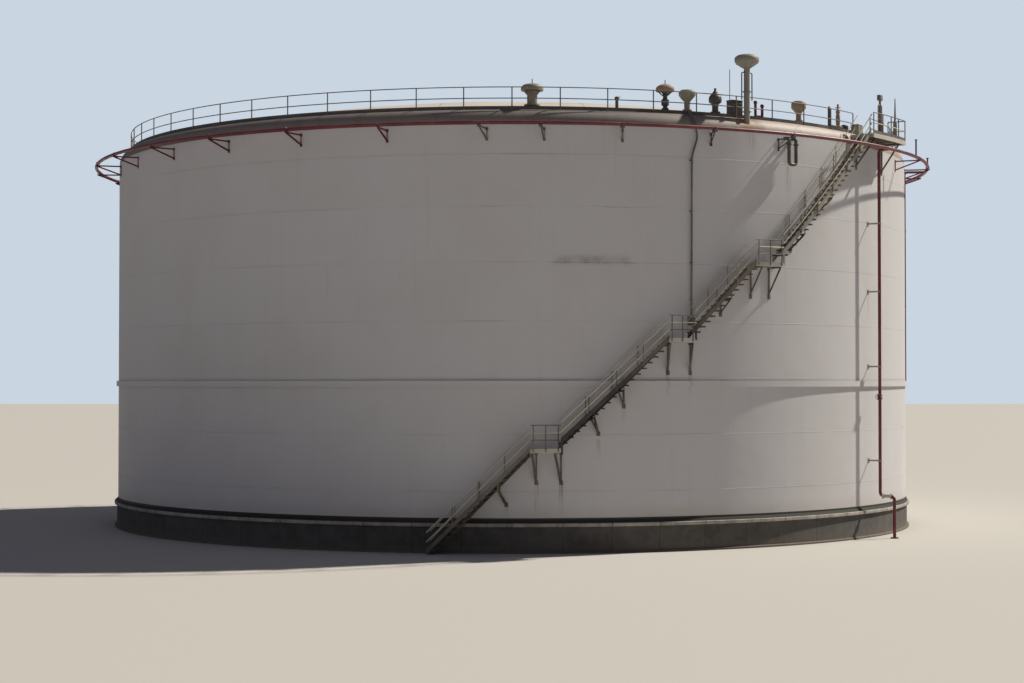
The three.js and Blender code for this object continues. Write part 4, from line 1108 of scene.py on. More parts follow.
@dataclass
class Stair(Assembly):
    """The flights, their handrails and the landings between them."""

    riser: float = 0.27 * M
    rail_height: float = 0.9 * M
    landing_rails: tuple[float, ...] = (1.1 * M, 0.748 * M, 0.396 * M)
    platform_rails: tuple[float, ...] = (1.08 * M, 0.54 * M)
    post_spacing: float = 1.25 * M
    tube: float = 0.03 * M
    inner_tube: float = 0.02 * M
    tread: tuple[float, float] = (0.34 * M, 0.8 * M - 0.014)
    depth: float = 0.26 * M
    frame_depth: float = 0.22 * M
    inner_drop: float = 0.3 * M
    tread_drop: float = 0.2 * M
    brace_drop: float = 0.75 * M
    flights: tuple[Flight, ...] = (
        Flight(1, -9.7, 2.1, 0.16 * M, 5.04 * M, 0.0, ((-1.6, 0.92),)),
        Flight(2, 5.5, 18.3, 5.39 * M, 10.3 * M, 5.04 * M, ((9.4, 0.97), (12.8, 0.72))),
        Flight(3, 21.5, 29.9, 10.7 * M, 14.08 * M, 10.3 * M, ((26.4, 0.0),)),
        Flight(4, 33.9, 51.0, 14.58 * M, 21.22 * M, 14.08 * M, ((37.5, 0.0), (42.5, 0.0))),
    )
    landings: tuple[Landing, ...] = (
        Landing("landing_1", 2.1, 5.5, 5.04 * M, 1.45 * M, ((2.25, 0.65), (4.85, 1.0))),
        Landing("landing_2", 18.3, 21.5, 10.3 * M, 1.45 * M, ((18.5, 0.65), (21.3, 0.85))),
        Landing("landing_3", 29.9, 33.9, 14.08 * M, 1.45 * M, ((30.9, 0.0), (33.7, 0.1))),
        Landing("top_platform", 51.0, 61.0, PLATFORM_HEIGHT, 1.5 * M, ((51.6, 0.0), (59.0, 0.8)),
                22.82 * M, 24.2 * M),
    )

    def build(self) -> None:
        """Makes every flight and landing in order from the ground."""
        for flight in self.flights:
            self.make_flight(flight)
            self.make_handrail(flight)
        for landing in self.landings:
            self.make_landing(landing)
            self.make_landing_rails(landing)

    def make_flight(self, flight: Flight) -> None:
        """Makes stringers as rising channels, grated treads that show below them, and knee braces.

        Args:
            flight: the flight to make.
        """
        name, nodes = f"flight_{flight.number}", [f"stair_flight_{flight.number}"]
        web, under = channel_section(self.depth), self.inner_drop + self.depth / 2
        form = Form().arc(web, flight.start, flight.end, STAIR_OUTER, flight.low, flight.high)
        foot = flight.floor - (0.05 if flight.floor else 0.0)
        form.box((0.05, 0.025, flight.low - foot), (0.03, 0.0125, (foot - flight.low) / 2),
                 placed(flight.start, STAIR_OUTER, flight.low))
        start = max(flight.start, flight.angle(under))
        form.arc([(-out, up) for out, up in web], start, flight.end, STAIR_INNER,
                 flight.height(start) - self.inner_drop, flight.high - self.inner_drop)
        # The lower flights' stringers get the near-black stair steel and flight 4's, in the key light, the
        # paler zinc: one steel as a shaded and a lit copy, painted shade and painted light.
        form.piece(f"{name}_stringers", Looks.ZINC if flight.number == 4 else Looks.STEP, *nodes)
        count = round(flight.rise / self.riser)
        step, rise = flight.turn / count, flight.rise / count
        tread = grating(*self.tread, bars=7, thickness=0.034)
        self.repeat.make(f"{name}_treads", tread, Looks.STEP, nodes, count=count, step=step, rise=rise,
                         start=flight.start + step / 2, radius=STAIR_MIDDLE,
                         height=flight.low + rise / 2 - self.tread_drop)
        for i, (angle, lean) in enumerate(flight.braces):
            brace = knee_brace(STAIR_OUTER - SHELL_RADIUS - 0.01, self.brace_drop, lean=lean, rise=under)
            self.repeat.make(f"{name}_brace_{i + 1}", brace, Looks.STEP, nodes, start=angle,
                             radius=SHELL_RADIUS, height=flight.height(angle) - under)

    def make_handrail(self, flight: Flight) -> None:
        """Makes posts with a top rail and a knee rail, on the outer stringer's face and at the wall.

        Args:
            flight: the flight that they go along.
        """
        count = round(math.radians(flight.turn) * STAIR_OUTER / self.post_spacing)
        step, rise = flight.turn / count, flight.rise / count
        for side, node, radius, foot, tube, top_look in (
                ("outer", "stair_handrail", STAIR_OUTER + self.tube, -0.03, self.tube, Looks.PALE_ZINC),
                ("inner", "stair_inner_rail", STAIR_INNER - self.inner_tube, -self.inner_drop,
                 self.inner_tube, Looks.OCHRE)):
            name, nodes = f"flight_{flight.number}_{side}", [f"{node}_{flight.number}"]
            post = Form().rod((0, 0, foot), (0, 0, self.rail_height), tube)
            post.box((tube * 3, 0.008, 0.07), (0, tube if side == "outer" else -tube, foot + 0.02))
            self.repeat.make(f"{name}_posts", post, Looks.RAIL, nodes, count=count - 1, radius=radius,
                             start=flight.start + step, step=step, height=flight.low + rise, rise=rise)
            for place, height, look in (("top", self.rail_height, top_look),
                                        ("knee", self.rail_height / 2, Looks.OCHRE)):
                path = sweep(flight.start, flight.end, radius, flight.low + height, flight.high + height, 24)
                Form().tube(path, tube, 8).piece(f"{name}_{place}_rail", look, *nodes)

    def make_landing(self, landing: Landing) -> None:
        """Makes a grated floor in a channel frame, on two knee braces.

        Args:
            landing: the landing to make.
        """
        name, nodes, start, end = landing.name, [landing.name], landing.start, landing.end
        width, centre = landing.outer - landing.inner, (landing.outer + landing.inner) / 2
        web, middle = channel_section(self.frame_depth), landing.height - self.frame_depth / 2
        form = Form().arc(web, start, end, landing.outer, middle, pitch=0.8)
        form.arc([(-out, up) for out, up in web], start, end, landing.inner, middle, pitch=0.8)
        for angle in (start, end):
            form.box((0.012, width, self.frame_depth), (0, 0, 0), placed(angle, centre, middle))
        form.piece(f"{name}_frame", Looks.PALE_ZINC, *nodes)
        bars = max(12, round(math.radians(end - start) * landing.outer / 0.025))
        step = (end - start) / bars
        slat = Form().box((0.006, width - 0.02, 0.022), (0, 0, -0.011))
        self.repeat.make(f"{name}_grating", slat, Looks.RAIL, nodes, count=bars - 1, start=start + step,
                         step=step, radius=centre, height=landing.height)
        ties = Form()
        for share in (0.2, 0.4, 0.6, 0.8):
            ties.arc([(-0.003, -0.012), (0.003, -0.012), (0.003, -0.002), (-0.003, -0.002)], start, end,
                     landing.inner + share * width, landing.height, pitch=0.8)
        ties.piece(f"{name}_ties", Looks.RAIL, *nodes)
        for i, (angle, lean) in enumerate(landing.braces):
            brace = knee_brace(landing.outer - SHELL_RADIUS - 0.01, landing.drop, lean=lean, arm_lean=lean)
            self.repeat.make(f"{name}_brace_{i + 1}", brace, Looks.STEP, nodes, start=angle,
                             radius=SHELL_RADIUS, height=landing.height - self.frame_depth)

    def make_landing_rails(self, landing: Landing) -> None:
        """Makes posts and rails on the outer edge, and on the far end of the top platform.

        Args:
            landing: the landing that they stand on.
        """
        name, is_top, start, end = landing.name, landing.name == "top_platform", landing.start, landing.end
        nodes = ["platform_railing"] if is_top else [name]
        heights = self.platform_rails if is_top else self.landing_rails
        count, foot = (5, 0.0) if is_top else (3, -0.08)
        radius = landing.outer + (-self.tube if is_top else self.tube)
        inset = math.degrees((0.035 * M if is_top else 0.12 * M) / landing.outer)
        post = Form().rod((0, 0, foot), (0, 0, heights[0]), self.tube)
        self.repeat.make(f"{name}_posts", post, Looks.RAIL, nodes, count=count, start=start + inset,
                         step=(end - start - 2 * inset) / (count - 1), radius=radius, height=landing.height)
        form, middle = Form(), Form()
        for i, height in enumerate(landing.height + h for h in heights):
            path = sweep(start, end, radius, height, height, 12)
            if is_top:
                path.append(polar(end, landing.inner + 0.2, height))
            (middle if i == 1 else form).tube(path, self.tube * 0.9, 8)
        middle.piece(f"{name}_middle_rail", Looks.OCHRE, *nodes)
        if is_top:
            corner = [polar(end, landing.inner + 0.2, landing.height + z) for z in (0, heights[0])]
            form.tube(corner, self.tube, 8)
            toe = [(-0.006, 0.0), (0.006, 0.0), (0.006, TOE_PLATE), (-0.006, TOE_PLATE)]
            form.arc(toe, start, end, radius, landing.height, pitch=0.8)
        form.piece(f"{name}_rails", Looks.RAIL, *nodes)


# The pipes


@dataclass
class RingMain(Assembly):
    """The red water main round the tank, on triangular brackets."""

    seen: tuple[tuple[float, float], ...] = ((-3.7, 0.7), (3.2, 0.65), (12.5, 0.9), (23.8, 1.3), (35.0, 0.5))
    first_behind: float = 66.5
    spacing_behind: float = 11.5
    hangers: tuple[float, ...] = (52.3, 57.4)
    hanger_radius: float = 24.14 * M
    upstands: tuple[tuple[float, float], ...] = ((65.0, 0.95 * M), (77.0, 0.5 * M))
    upstand_pipe: float = 0.045 * M
    bracket_drop: float = 0.5 * M
    bracket_leg: float = 0.07 * M

    def build(self) -> None:
        """Makes the pipe, its brackets, the hangers under the platform and the upstands."""
        nodes = [f"ring_main_{i}" for i in range(1, 5)]
        pipe = Form().tube(sweep(0, 358.5, MAIN_RADIUS, MAIN_HEIGHT, MAIN_HEIGHT, 239), MAIN_PIPE, 12, True)
        for angle, height in self.upstands:
            top = MAIN_HEIGHT + height
            pipe.tube([polar(angle, MAIN_RADIUS, z) for z in (MAIN_HEIGHT, top)], self.upstand_pipe, 10)
            pipe.disc(0.04, 0, 0.02, 12, placed(angle, MAIN_RADIUS, top - 0.02))
        pipe.piece("ring_main_pipe", Looks.RED, *nodes)
        height = MAIN_HEIGHT - MAIN_PIPE - 0.0175
        shoe = Form().box((0.085, 0.13, 0.05), (0, SHELL_RADIUS - MAIN_RADIUS, 0.0), edge=0.006)
        for i, (angle, lean) in enumerate(self.seen, 1):
            for name, form, look in (("bracket", self.bracket(lean), Looks.STEP), ("shoe", shoe, Looks.DARK)):
                self.repeat.make(f"main_{name}_{i}", form, look, nodes, start=angle, radius=SHELL_RADIUS,
                                 height=height)
        around = 360 + self.seen[0][0] - self.spacing_behind - self.first_behind
        spans = round(around / self.spacing_behind)
        self.repeat.make("main_brackets_behind", self.bracket(0.0), Looks.RED, nodes, count=spans + 1,
                         start=self.first_behind, step=around / spans, radius=SHELL_RADIUS, height=height)
        form, inner = Form(), self.hanger_radius
        for angle in self.hangers:
            knee = polar(angle, inner, MAIN_HEIGHT)
            form.tube([polar(angle, inner, PLATFORM_HEIGHT - 0.22 * M), knee], 0.014, 8)
            form.tube([knee, polar(angle, MAIN_RADIUS, MAIN_HEIGHT)], 0.012, 8)
        form.piece("main_hangers", Looks.RED, *nodes)

    def bracket(self, lean: float) -> Form:
        """A knee bracket with the bow that holds the pipe down.

        Args:
            lean: how many degrees round the tank its roots are.
        Returns:
            The bracket, drawn outwards from the origin.
        """
        reach = MAIN_RADIUS - SHELL_RADIUS + MAIN_PIPE * 1.4
        form = knee_brace(reach, self.bracket_drop, self.bracket_leg, lean, lean)
        bow = [Vector((0, SHELL_RADIUS - MAIN_RADIUS + s * MAIN_PIPE * 1.15, z * MAIN_PIPE))
               for s, z in ((-1, -0.3), (-1, 2.3), (1, 2.3), (1, -0.3))]
        return form.tube(rounded(bow, MAIN_PIPE), 0.006, 6)


@dataclass
class Risers(Assembly):
    """The riser that steps out over the base, and the second one that stands on the ring."""

    angle: float = 55.0
    radius: float = 23.65 * M
    foot: float = 24.45 * M
    jog: float = 2.2 * M
    pipe: float = 0.085 * M
    clips: tuple[float, ...] = (16.55 * M, 12.95 * M, 9.0 * M, 4.05 * M)
    valve: float = 7.4 * M
    side_angle: float = 84.0
    side_radius: float = 23.1 * M
    side_pipe: float = 0.07 * M
    side_clips: tuple[float, ...] = (17.0 * M, 12.6 * M)

    def build(self) -> None:
        """Makes both pipes with their clips, the valve and the foot."""
        a, tee = self.angle, MAIN_RADIUS - MAIN_PIPE * 0.4
        path = [(tee, MAIN_HEIGHT), (self.radius, MAIN_HEIGHT), (self.radius, self.jog),
                (self.foot, self.jog), (self.foot, 0.03 * M)]
        form = Form().tube(rounded([polar(a, r, z) for r, z in path], 0.12), self.pipe, 12)
        clips = Form()
        self.add_clips(clips, a, self.radius, self.clips, self.pipe)
        clips.piece("riser_clips", Looks.ZINC, "riser")
        self.step_piece().piece("riser_step_piece", Looks.PALE_ZINC, "riser")
        valve = placed(a, self.radius, self.valve)
        form.lathe([(0, -0.07), (0.06, -0.07), (0.075, -0.045), (0.055, -0.03), (0.08, 0.0), (0.055, 0.03),
                    (0.075, 0.045), (0.06, 0.07), (0, 0.07)], 16, valve)
        hub = valve @ Matrix.Translation((-0.12, 0, 0)) @ Matrix.Rotation(math.pi / 2, 4, "Y")
        wheel = Form().tube(circle(0.07, 20, hub), 0.006, 6, True)
        wheel.rod((0, 0, 0), (-0.13, 0, 0), 0.012, at=valve)
        for spoke in circle(0.07, 3, hub):
            wheel.tube([hub.translation, spoke], 0.005, 6)
        wheel.piece("riser_hand_wheel", Looks.DARK, "riser")
        ground = placed(a, self.foot, 0)
        form.lathe([(0, 0), (0.11, 0), (0.11, 0.022), (0.06, 0.03), (0, 0.03)], 24, ground)
        form.bolts(8, 0.085, 0.011, 0.02, 0.034, ground).piece("riser_pipe", Looks.RED, "riser")
        away = self.side_radius
        path = [(tee, MAIN_HEIGHT), (away, MAIN_HEIGHT), (away, STIFFENER_TOP)]
        form = Form().tube(rounded([polar(self.side_angle, r, z) for r, z in path], 0.1), self.side_pipe, 12)
        self.add_clips(form, self.side_angle, away, self.side_clips, self.side_pipe)
        form.piece("side_riser_pipe", Looks.RED, "side_riser")

    def step_piece(self) -> Form:
        """The pale sleeve and two flanges on the pipe's level step over the base.

        Returns:
            Their form.
        """
        form, out, margin = Form(), self.foot - self.radius, 0.22
        for share in (margin, 1 - margin):
            faces = [self.radius + share * out + side for side in (-0.012, 0.012)]
            form.tube([polar(self.angle, face, self.jog) for face in faces], self.pipe * 1.9, 18)
        ends = (self.radius + margin * out, self.foot - margin * out)
        return form.tube([polar(self.angle, end, self.jog) for end in ends], self.pipe * 1.12, 14)

    def add_clips(self, form: Form, angle: float, radius: float, heights: Sequence[float],
                  pipe: float) -> None:
        """Adds clips from the wall round an upright pipe.

        Args:
            form: the form to add them to.
            angle, radius: where the pipe is.
            heights: where the clips are.
            pipe: the pipe's radius.
        """
        for height in heights:
            form.bar(polar(angle, SHELL_RADIUS - 0.02, height), polar(angle, radius, height),
                     angle_section(0.04, 0.006))
            form.band(pipe * 0.9, pipe * 1.25, -0.02, 0.02, 16, placed(angle, radius, height))
            form.box((0.1, 0.012, 0.12), (0, -0.004, 0), placed(angle, SHELL_RADIUS, height), 0.002)


@dataclass
class WallPipes(Assembly):
    """The dark loop under the roof's edge and the cable pipe with its junction box.

    Attributes:
        legs, out, top, low: the loop's two angles, its distance from the axis and its heights.
        pipe, cable_pipe: the radii of the loop and of the cable pipe.
        cable: the cable pipe's corners as angle, distance from the axis and height.
        saddles, junction: the heights of the cable pipe's saddles and of its junction box.
    """

    legs: tuple[float, float] = (36.6, 37.8)
    out: float = 23.3 * M
    top: float = 20.42 * M
    low: float = 19.1 * M
    pipe: float = 0.09 * M
    cable_pipe: float = 0.05 * M
    cable: tuple[Place, ...] = (
        (22.6, SHELL_RADIUS - 0.55 * M, 21.55 * M), (22.7, 23.12 * M, 20.85 * M),
        (23.1, 23.12 * M, 20.15 * M), (22.3, 23.12 * M, 19.2 * M), (22.2, 23.12 * M, 11.3 * M))
    saddles: tuple[float, ...] = (19.0 * M, 16.5 * M, 14.0 * M, 12.2 * M)
    junction: float = 11.15 * M

    def build(self) -> None:
        """Makes both runs of pipe with rounded bends."""
        (left, right), out, top, low, root = self.legs, self.out, self.top, self.low, SHELL_RADIUS - 0.03
        path = [polar(left, root, top), polar(left, out, top), polar(left, out, low), polar(right, out, low),
                polar(right, out, top), polar(right, root, top)]
        form = Form().tube(rounded(path, 0.09), self.pipe, 14)
        for angle in self.legs:
            form.band(0.03, 0.075, -0.012, 0.012, 18, placed(angle, out, top - 0.16))
        form.piece("overflow_loop", Looks.DARK, "loop_pipe")
        form = Form().tube(rounded([polar(*corner) for corner in self.cable], 0.12), self.cable_pipe, 10)
        box = placed(22.2, SHELL_RADIUS, self.junction)
        form.box((0.16, 0.12, 0.2), (0, -0.045, 0), box, 0.008)
        form.box((0.13, 0.012, 0.17), (0, -0.108, 0), box, 0.004)
        for height in self.saddles:
            form.box((0.07, 0.07, 0.03), (0, -0.03, 0), placed(22.25, SHELL_RADIUS, height), 0.004)
        form.piece("cable_pipe", Looks.RAIL, "cable_conduit")


# The fittings on the roof


@dataclass(frozen=True)
class Mushroom:
    """A vent with a rounded cap over a screened throat. Its lengths are real metres.

    Attributes:
        name: the solid it stands for.
        angle, radius: where it stands.
        neck, cap: the radii of its neck and cap.
        low, high, spike: heights of the cap's rim, its top and the spike.
        bluff: how the cap's curve bends: under 1 is flat-topped, over 1 is conical.
        look: the cap's finish.
        slim: whether its neck is slim and dark, with a thick part halfway up.
    """

    name: str
    angle: float
    radius: float
    neck: float
    cap: float
    low: float
    high: float
    spike: float
    bluff: float
    look: Looks = Looks.VENT
    slim: bool = False


@dataclass
class RoofFittings(Assembly):
    """The vents, boxes and valves along the roof's edge, and the two fittings on the roof.

    Attributes:
        mushrooms: the mushroom vents.
        gauge, breather, and so on: each fitting's angle, and its distance from the axis in real metres.
    """

    mushrooms: tuple[Mushroom, ...] = (
        Mushroom("mushroom_vent_1", 2.6, 21.65, 0.25, 0.55, 0.88, 1.2, 1.46, 0.6),
        Mushroom("mushroom_vent_2", 20.3, 21.75, 0.11, 0.46, 1.06, 1.42, 1.62, 1.4, Looks.RUSTY, True),
        Mushroom("centre_vent", 0.0, 0.0, 0.3, 0.7, 0.55, 0.95, 1.0, 1.0),
    )
    gauge: tuple[float, float] = (13.4, 22.05)
    breather: tuple[float, float] = (23.5, 21.75)
    relief: tuple[float, float] = (27.6, 21.85)
    aerial: tuple[float, float] = (30.4, 22.0)
    tall_vent: tuple[float, float] = (30.9, 22.75)
    posts: tuple[float, float] = (34.4, 22.0)
    tan_vent: tuple[float, float] = (42.5, 21.85)
    valve_row: tuple[float, float] = (51.2, 21.9)
    cabinet: tuple[float, float] = (61.5, 21.4)
    manhole: tuple[float, float] = (74, 19.6)

    def build(self) -> None:
        """Makes each fitting."""
        for vent in self.mushrooms:
            self.make_mushroom(vent)
        self.gauge_pipe()
        self.breather_and_relief()
        self.boxes()
        self.valves()
        self.stack()

    def spot(self, angle: float, radius: float) -> Matrix:
        """The place of a fitting's foot on the roof. Args: radius: from the axis, in real metres."""
        return placed(angle, radius * M, roof_height(radius * M))

    def necked(self, form: Form, at: Matrix, radius: float, bolts: int = 10) -> None:
        """Adds a reinforcing pad and a bolted flange round a neck.

        Args:
            form: the form to add them to.
            at: the neck's foot.
            radius: the neck's radius.
            bolts: how many the flange has.
        """
        pad = radius * 1.7
        form.lathe([(0, ROOTED), (pad, ROOTED), (pad, 0.014), (radius, 0.02), (0, 0.02)], 24, at)
        form.bolts(bolts, radius * 1.32, 0.009, 0.08, 0.11, at)
        form.disc(radius * 1.6, 0.06, 0.09, 24, at)

    def flared(self, at: Matrix, neck: float, outline: Section) -> Form:
        """Turns a body on a flanged neck.

        Args:
            at: the neck's foot.
            neck: the neck's radius.
            outline: the body's radii and heights.
        Returns:
            The body and the neck.
        """
        form = Form().lathe([(0, ROOTED), (neck, ROOTED), *outline], 28, at)
        self.necked(form, at, neck)
        return form

    def make_mushroom(self, vent: Mushroom) -> None:
        """Turns the cap with its spike, and the neck with its stays.

        Args:
            vent: the vent to make.
        """
        at = self.spot(vent.angle, vent.radius)
        neck, cap, low, high, spike = (v * M for v in (vent.neck, vent.cap, vent.low, vent.high, vent.spike))
        rim, throat, tip = low + (high - low) * 0.28, neck * 1.35, 0.025 * M
        curve = [(cap * math.cos(t) ** vent.bluff, rim + (high - rim) * math.sin(t))
                 for t in (math.radians(9 * k) for k in range(9))]
        profile = [(0, low - 0.04), (throat, low - 0.04), (throat, low), (cap * 0.86, low),
                   (cap * 0.96, low - 0.015), (cap, low), *curve, (tip, high), (tip, spike - 0.01),
                   (0, spike)]
        Form().lathe(profile, 32, at).piece(f"{vent.name}_cap", vent.look, vent.name)
        outline, sides, waist = [(neck, low * 0.86), (throat, low * 0.92), (throat, low)], 32, 0.19 * M
        if vent.slim:
            outline = [(neck, 0.3 * M), (waist, 0.36 * M), (waist, 0.62 * M), (neck, 0.68 * M), (neck, low)]
            sides = 28
        body = Form().lathe([(0, ROOTED), (neck, ROOTED), *outline, (0, low)], sides, at)
        self.necked(body, at, neck)
        for k in range(6):
            body.bar(at @ polar(60 * k, neck * 1.05, low * 0.78), at @ polar(60 * k, cap * 0.8, low),
                     chamfered(0.008, 0.03))
        body.piece(f"{vent.name}_neck", Looks.DARK if vent.slim else Looks.VENT, vent.name)

    def gauge_pipe(self) -> None:
        """A short capped dip pipe."""
        at = self.spot(*self.gauge)
        form = Form().lathe([(0, ROOTED), (0.04, ROOTED), (0.04, 0.27), (0.058, 0.27), (0.058, 0.33),
                             (0.03, 0.35), (0, 0.35)], 18, at)
        form.disc(0.065, ROOTED, 0.06, 18, at)
        handle = [at @ Vector(p) for p in ((0.05, 0, 0.3), (0.09, 0, 0.34), (0.06, 0, 0.36))]
        form.tube(handle, 0.006, 6).piece("dip_pipe", Looks.DARK, "gauge_pipe")

    def breather_and_relief(self) -> None:
        """A breather whose body flares to a flat top, and a dark relief valve with a conical hood."""
        at = self.spot(*self.breather)
        form = self.flared(at, 0.075, [
            (0.075, 0.3), (0.1, 0.33), (0.12, 0.36), (0.16, 0.4), (0.2, 0.44), (0.21, 0.46), (0.21, 0.53),
            (0.2, 0.55), (0.15, 0.585), (0, 0.59)])
        for k in range(8):
            form.bar(at @ polar(45 * k, 0.08, 0.31), at @ polar(45 * k, 0.195, 0.435), chamfered(0.008, 0.02))
        form.piece("breather", Looks.VENT, "breather_vent")
        at = self.spot(*self.relief)
        form = self.flared(at, 0.08, [
            (0.08, 0.27), (0.11, 0.3), (0.155, 0.33), (0.16, 0.35), (0.16, 0.45), (0.15, 0.475), (0.1, 0.54),
            (0.05, 0.6), (0.032, 0.62), (0.03, 0.685), (0, 0.69)])
        form.band(0.12, 0.165, 0.385, 0.405, 28, at).piece("relief", Looks.DARK, "relief_valve")

    def boxes(self) -> None:
        """The box with the aerial, the equipment box on legs, and the roof's manhole."""
        at = self.spot(*self.aerial)
        form = Form().box((0.35, 0.22, 0.62), (0, 0, 0.11), at, 0.012)
        form.box((0.37, 0.24, 0.02), (0, 0, 0.415), at, 0.005)
        form.box((0.3, 0.012, 0.3), (0, -0.112, 0.2), at, 0.004)
        form.rod((-0.15, 0, 0.3), (-0.15, 0, 1.19), 0.009, at=at)
        form.piece("aerial_box", Looks.DARK, "antenna_box")
        at = self.spot(*self.cabinet)
        form = Form().box((0.4, 0.21, 0.25), (0, 0, 0.18), at, 0.012)
        form.box((0.42, 0.23, 0.02), (0, 0, 0.315), at, 0.005)
        for x in (-0.1, 0.1):
            form.box((0.17, 0.012, 0.19), (x, -0.108, 0.18), at, 0.004)
        for x, y in ((-0.16, -0.065), (-0.16, 0.065), (0.16, -0.065), (0.16, 0.065)):
            form.rod((x, y, -0.2), (x, y, 0.08), 0.028, at=at)
        form.piece("equipment_cabinet", Looks.VENT, "equipment_box")
        at = self.spot(*self.manhole)
        form = Form().lathe([(0, ROOTED), (0.175, ROOTED), (0.175, 0.15), (0.225, 0.15), (0.225, 0.165),
                             (0.21, 0.18), (0, 0.185)], 32, at)
        form.bolts(16, 0.2, 0.009, 0.14, 0.185, at).piece("manhole", Looks.ROOF, "roof_manhole")

    def valves(self) -> None:
        """The two red posts, the tan vent and the dark valve set."""
        at, form = self.spot(*self.posts), Form()
        for x, top in ((-0.1, 0.475), (0.125, 0.4)):
            form.lathe([(0, ROOTED), (0.035, ROOTED), (0.035, top - 0.07), (0.05, top - 0.07),
                        (0.05, top - 0.03), (0.03, top), (0, top)], 16, at @ Matrix.Translation((x, 0, 0)))
        form.box((0.25, 0.04, 0.05), (0, 0, 0.085), at, 0.004).piece("red_posts", Looks.RED, "hydrant_posts")
        self.flared(self.spot(*self.tan_vent), 0.07, [
            (0.07, 0.28), (0.1, 0.32), (0.15, 0.37), (0.185, 0.41), (0.19, 0.44), (0.19, 0.54), (0.175, 0.57),
            (0.13, 0.597), (0, 0.6)]).piece("tan_vent_cap", Looks.TAN, "pale_vent")
        at, form = self.spot(*self.valve_row), Form()
        for x, radius, top in ((-0.35, 0.035, 0.6), (0.475, 0.1, 0.2)):
            form.lathe([(0, ROOTED), (radius, ROOTED), (radius, top - 0.03), (radius * 0.7, top),
                        (0, top)], 16, at @ Matrix.Translation((x, 0, 0)))
        form.rod((-0.35, 0, 0.115), (0.475, 0, 0.115), 0.026, 12, at)
        form.piece("valve_pipes", Looks.DARK, "valve_set")
        at = at @ Matrix.Translation((0.12, 0, 0))
        form = Form().lathe([
            (0, ROOTED), (0.045, ROOTED), (0.045, 0.1), (0.075, 0.1), (0.075, 0.13), (0.05, 0.15),
            (0.06, 0.25), (0.06, 0.4), (0.04, 0.46), (0.06, 0.48), (0.06, 0.52), (0.03, 0.57), (0.028, 0.71),
            (0, 0.71)], 20, at)
        wheel = at @ Matrix.Translation((0, 0, 0.62))
        form.tube(circle(0.075, 20, wheel), 0.007, 6, True)
        form.rod((-0.075, 0, 0), (0.075, 0, 0), 0.006, 6, wheel)
        form.piece("valve_body", Looks.TAN, "valve_set")

    def stack(self) -> None:
        """The tall vent outside the railing, with its flaring flat-topped head and hanging rods."""
        angle, radius = self.tall_vent
        at = placed(angle, radius * M, 0)
        head = ((0.15, 20.75), (0.15, 23.78), (0.22, 23.83), (0.4, 23.93), (0.54, 24.03), (0.6, 24.1),
                (0.61, 24.16), (0.61, 24.28), (0.58, 24.34), (0.46, 24.43), (0.3, 24.47), (0, 24.48))
        form = Form().lathe([(0, 20.75 * M), *((r * M, z * M) for r, z in head)], 32, at)
        for z in (21.6 * M, 22.6 * M):
            form.band(0.05, 0.11, z, z + 0.018, 24, at)
        for k in range(8):
            form.bar(at @ polar(45 * k, 0.08, 23.8 * M), at @ polar(45 * k, 0.27, 24.04 * M),
                     chamfered(0.01, 0.03))
        form.piece("tall_vent", Looks.VENT, "vent_stack")
        rods = rounded(arch(0.16, 22.2 * M, 23.57 * M), 0.04)
        Form().tube([at @ p for p in rods], 0.015, 8).piece("tall_vent_rods", Looks.DARK, "vent_stack")


@dataclass
class Masts(Assembly):
    """The floodlight and the tapering mast on the platform."""

    radius: float = 23.85 * M
    floodlight: float = 54.3
    taper: float = 59.3

    def build(self) -> None:
        """Makes both masts on the platform's floor."""
        at = placed(self.floodlight, self.radius, PLATFORM_HEIGHT)
        form = Form().lathe([(0, 0), (0.07, 0), (0.07, 0.02), (0.03, 0.03), (0.03, 0.96), (0, 0.96)], 16, at)
        form.box((0.16, 0.1, 0.15), (0, 0, 1.01), at, 0.014)
        for k in range(5):
            form.box((0.14, 0.02, 0.005), (0, 0.05, 0.95 + 0.03 * k), at)
        form.piece("floodlight", Looks.RAIL, "floodlight_mast")
        form = Form().tube([at @ p for p in rounded(arch(0.105, 0, 0.82), 0.07)], 0.017, 8)
        form.rod((-0.105, 0, 0.45), (0.105, 0, 0.45), 0.012, at=at)
        form.piece("floodlight_hoop", Looks.TAN, "floodlight_mast")
        Form().box((0.13, 0.01, 0.11), (0, -0.051, 1.01), at, 0.003).piece(
            "floodlight_lens", Looks.GLASS, "floodlight_mast")
        at = placed(self.taper, self.radius, PLATFORM_HEIGHT)
        Form().lathe([(0, 0), (0.09, 0), (0.09, 0.02), (0.06, 0.03), (0.055, 0.28), (0.05, 0.5), (0.03, 0.52),
                      (0.012, 1.12), (0, 1.12)], 16, at).piece("tapering_mast", Looks.ZINC, "whip_mast")


# The room


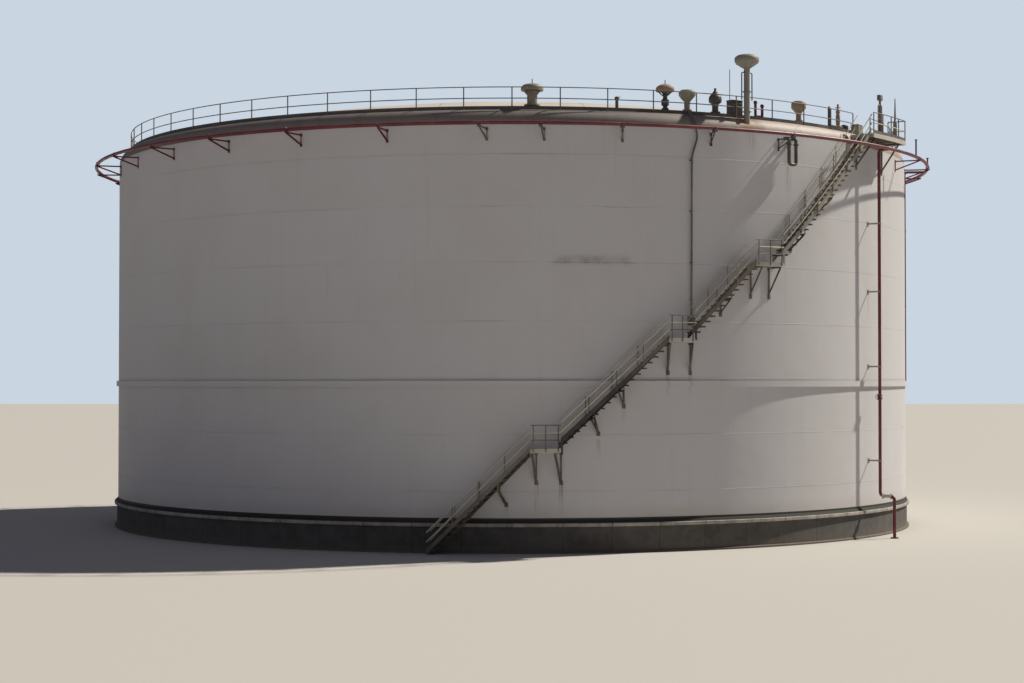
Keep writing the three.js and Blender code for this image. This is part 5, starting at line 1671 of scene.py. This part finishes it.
@dataclass
class Studio:
    """The plain floor, the soft light and the camera at the photograph's viewpoint."""

    eye: Place = (0.0, -115.46 * M, 8.2 * M)
    aim: Place = (0.0, 0.0, 10.6 * M)
    lens: float = 68.0
    sensor: float = 36.0
    far: float = 1000.0
    room: tuple[Colour, float] = ((0.75, 0.80, 1.08), 0.104)
    sky: tuple[Colour, float] = ((0.62, 0.70, 0.80), 0.95)

    def build(self) -> None:
        """Makes the stage, lights and camera."""
        floor = bpy.data.objects.new("floor", Form().box((600, 600, 0.2), (0, 0, -0.101)).mesh("floor"))
        bpy.context.scene.collection.objects.link(floor)
        paint = FloorPaint("floor_paint", "concrete", (0.52, 0.50, 0.47), 0.85)
        floor.data.materials.append(paint.material())
        self.light("key", angle=116.7, height=44.5, strength=4.85, spread=1.6, colour=(1.0, 0.94, 0.82))
        self.light("fill", angle=-30.0, height=30.0, strength=0.12, spread=90.0, colour=(0.9, 0.95, 1.0))
        self.world()
        bpy.context.scene.view_settings.view_transform = "Standard"
        camera = bpy.data.objects.new("camera", bpy.data.cameras.new("camera"))
        camera.data.lens, camera.data.sensor_width, camera.data.clip_end = self.lens, self.sensor, self.far
        camera.location = self.eye
        camera.rotation_euler = (Vector(self.aim) - Vector(self.eye)).to_track_quat("-Z", "Y").to_euler()
        bpy.context.scene.collection.objects.link(camera)
        bpy.context.scene.camera = camera

    def world(self) -> None:
        """The soft light from all sides, and the paler sky that the camera sees."""
        world = bpy.data.worlds.new("soft_room")
        world.use_nodes = True
        world.node_tree.nodes.clear()
        graph = Graph(world.node_tree)
        seen = graph.node("ShaderNodeLightPath").outputs["Is Camera Ray"]
        room, sky = (graph.node("ShaderNodeBackground", None, {"Color": (*colour, 1.0), "Strength": power})
                     for colour, power in (self.room, self.sky))
        both = graph.node("ShaderNodeMixShader", None, {0: seen, 1: room.outputs[0], 2: sky.outputs[0]})
        graph.node("ShaderNodeOutputWorld", None, {"Surface": both.outputs[0]})
        bpy.context.scene.world = world

    def light(self, name: str, angle: float, height: float, strength: float, spread: float,
              colour: Colour) -> None:
        """Adds a far light.

        Args:
            name: its name.
            angle, height: where it shines from, in degrees.
            strength: how bright it is.
            spread: how wide it looks, in degrees.
            colour: its colour.
        """
        lamp = bpy.data.lights.new(name, "SUN")
        lamp.energy, lamp.angle, lamp.color = strength, math.radians(spread), colour
        lit = bpy.data.objects.new(name, lamp)
        source = polar(angle, math.cos(math.radians(height)), math.sin(math.radians(height)))
        lit.rotation_euler = source.to_track_quat("Z", "Y").to_euler()
        bpy.context.scene.collection.objects.link(lit)


def main() -> None:
    """Builds the tank's looks in order from the ground."""
    logging.basicConfig(level=logging.INFO, format="%(name)s %(message)s")
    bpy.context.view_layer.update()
    Studio().build()
    repeat = Repeat()
    for kind in (Base, Shell, Crown, RoofRailing, Stair, RingMain, Risers, WallPipes, RoofFittings, Masts):
        kind(repeat).build()
        LOG.info("%s done", kind.__name__)


if __name__ == "__main__":
    main()
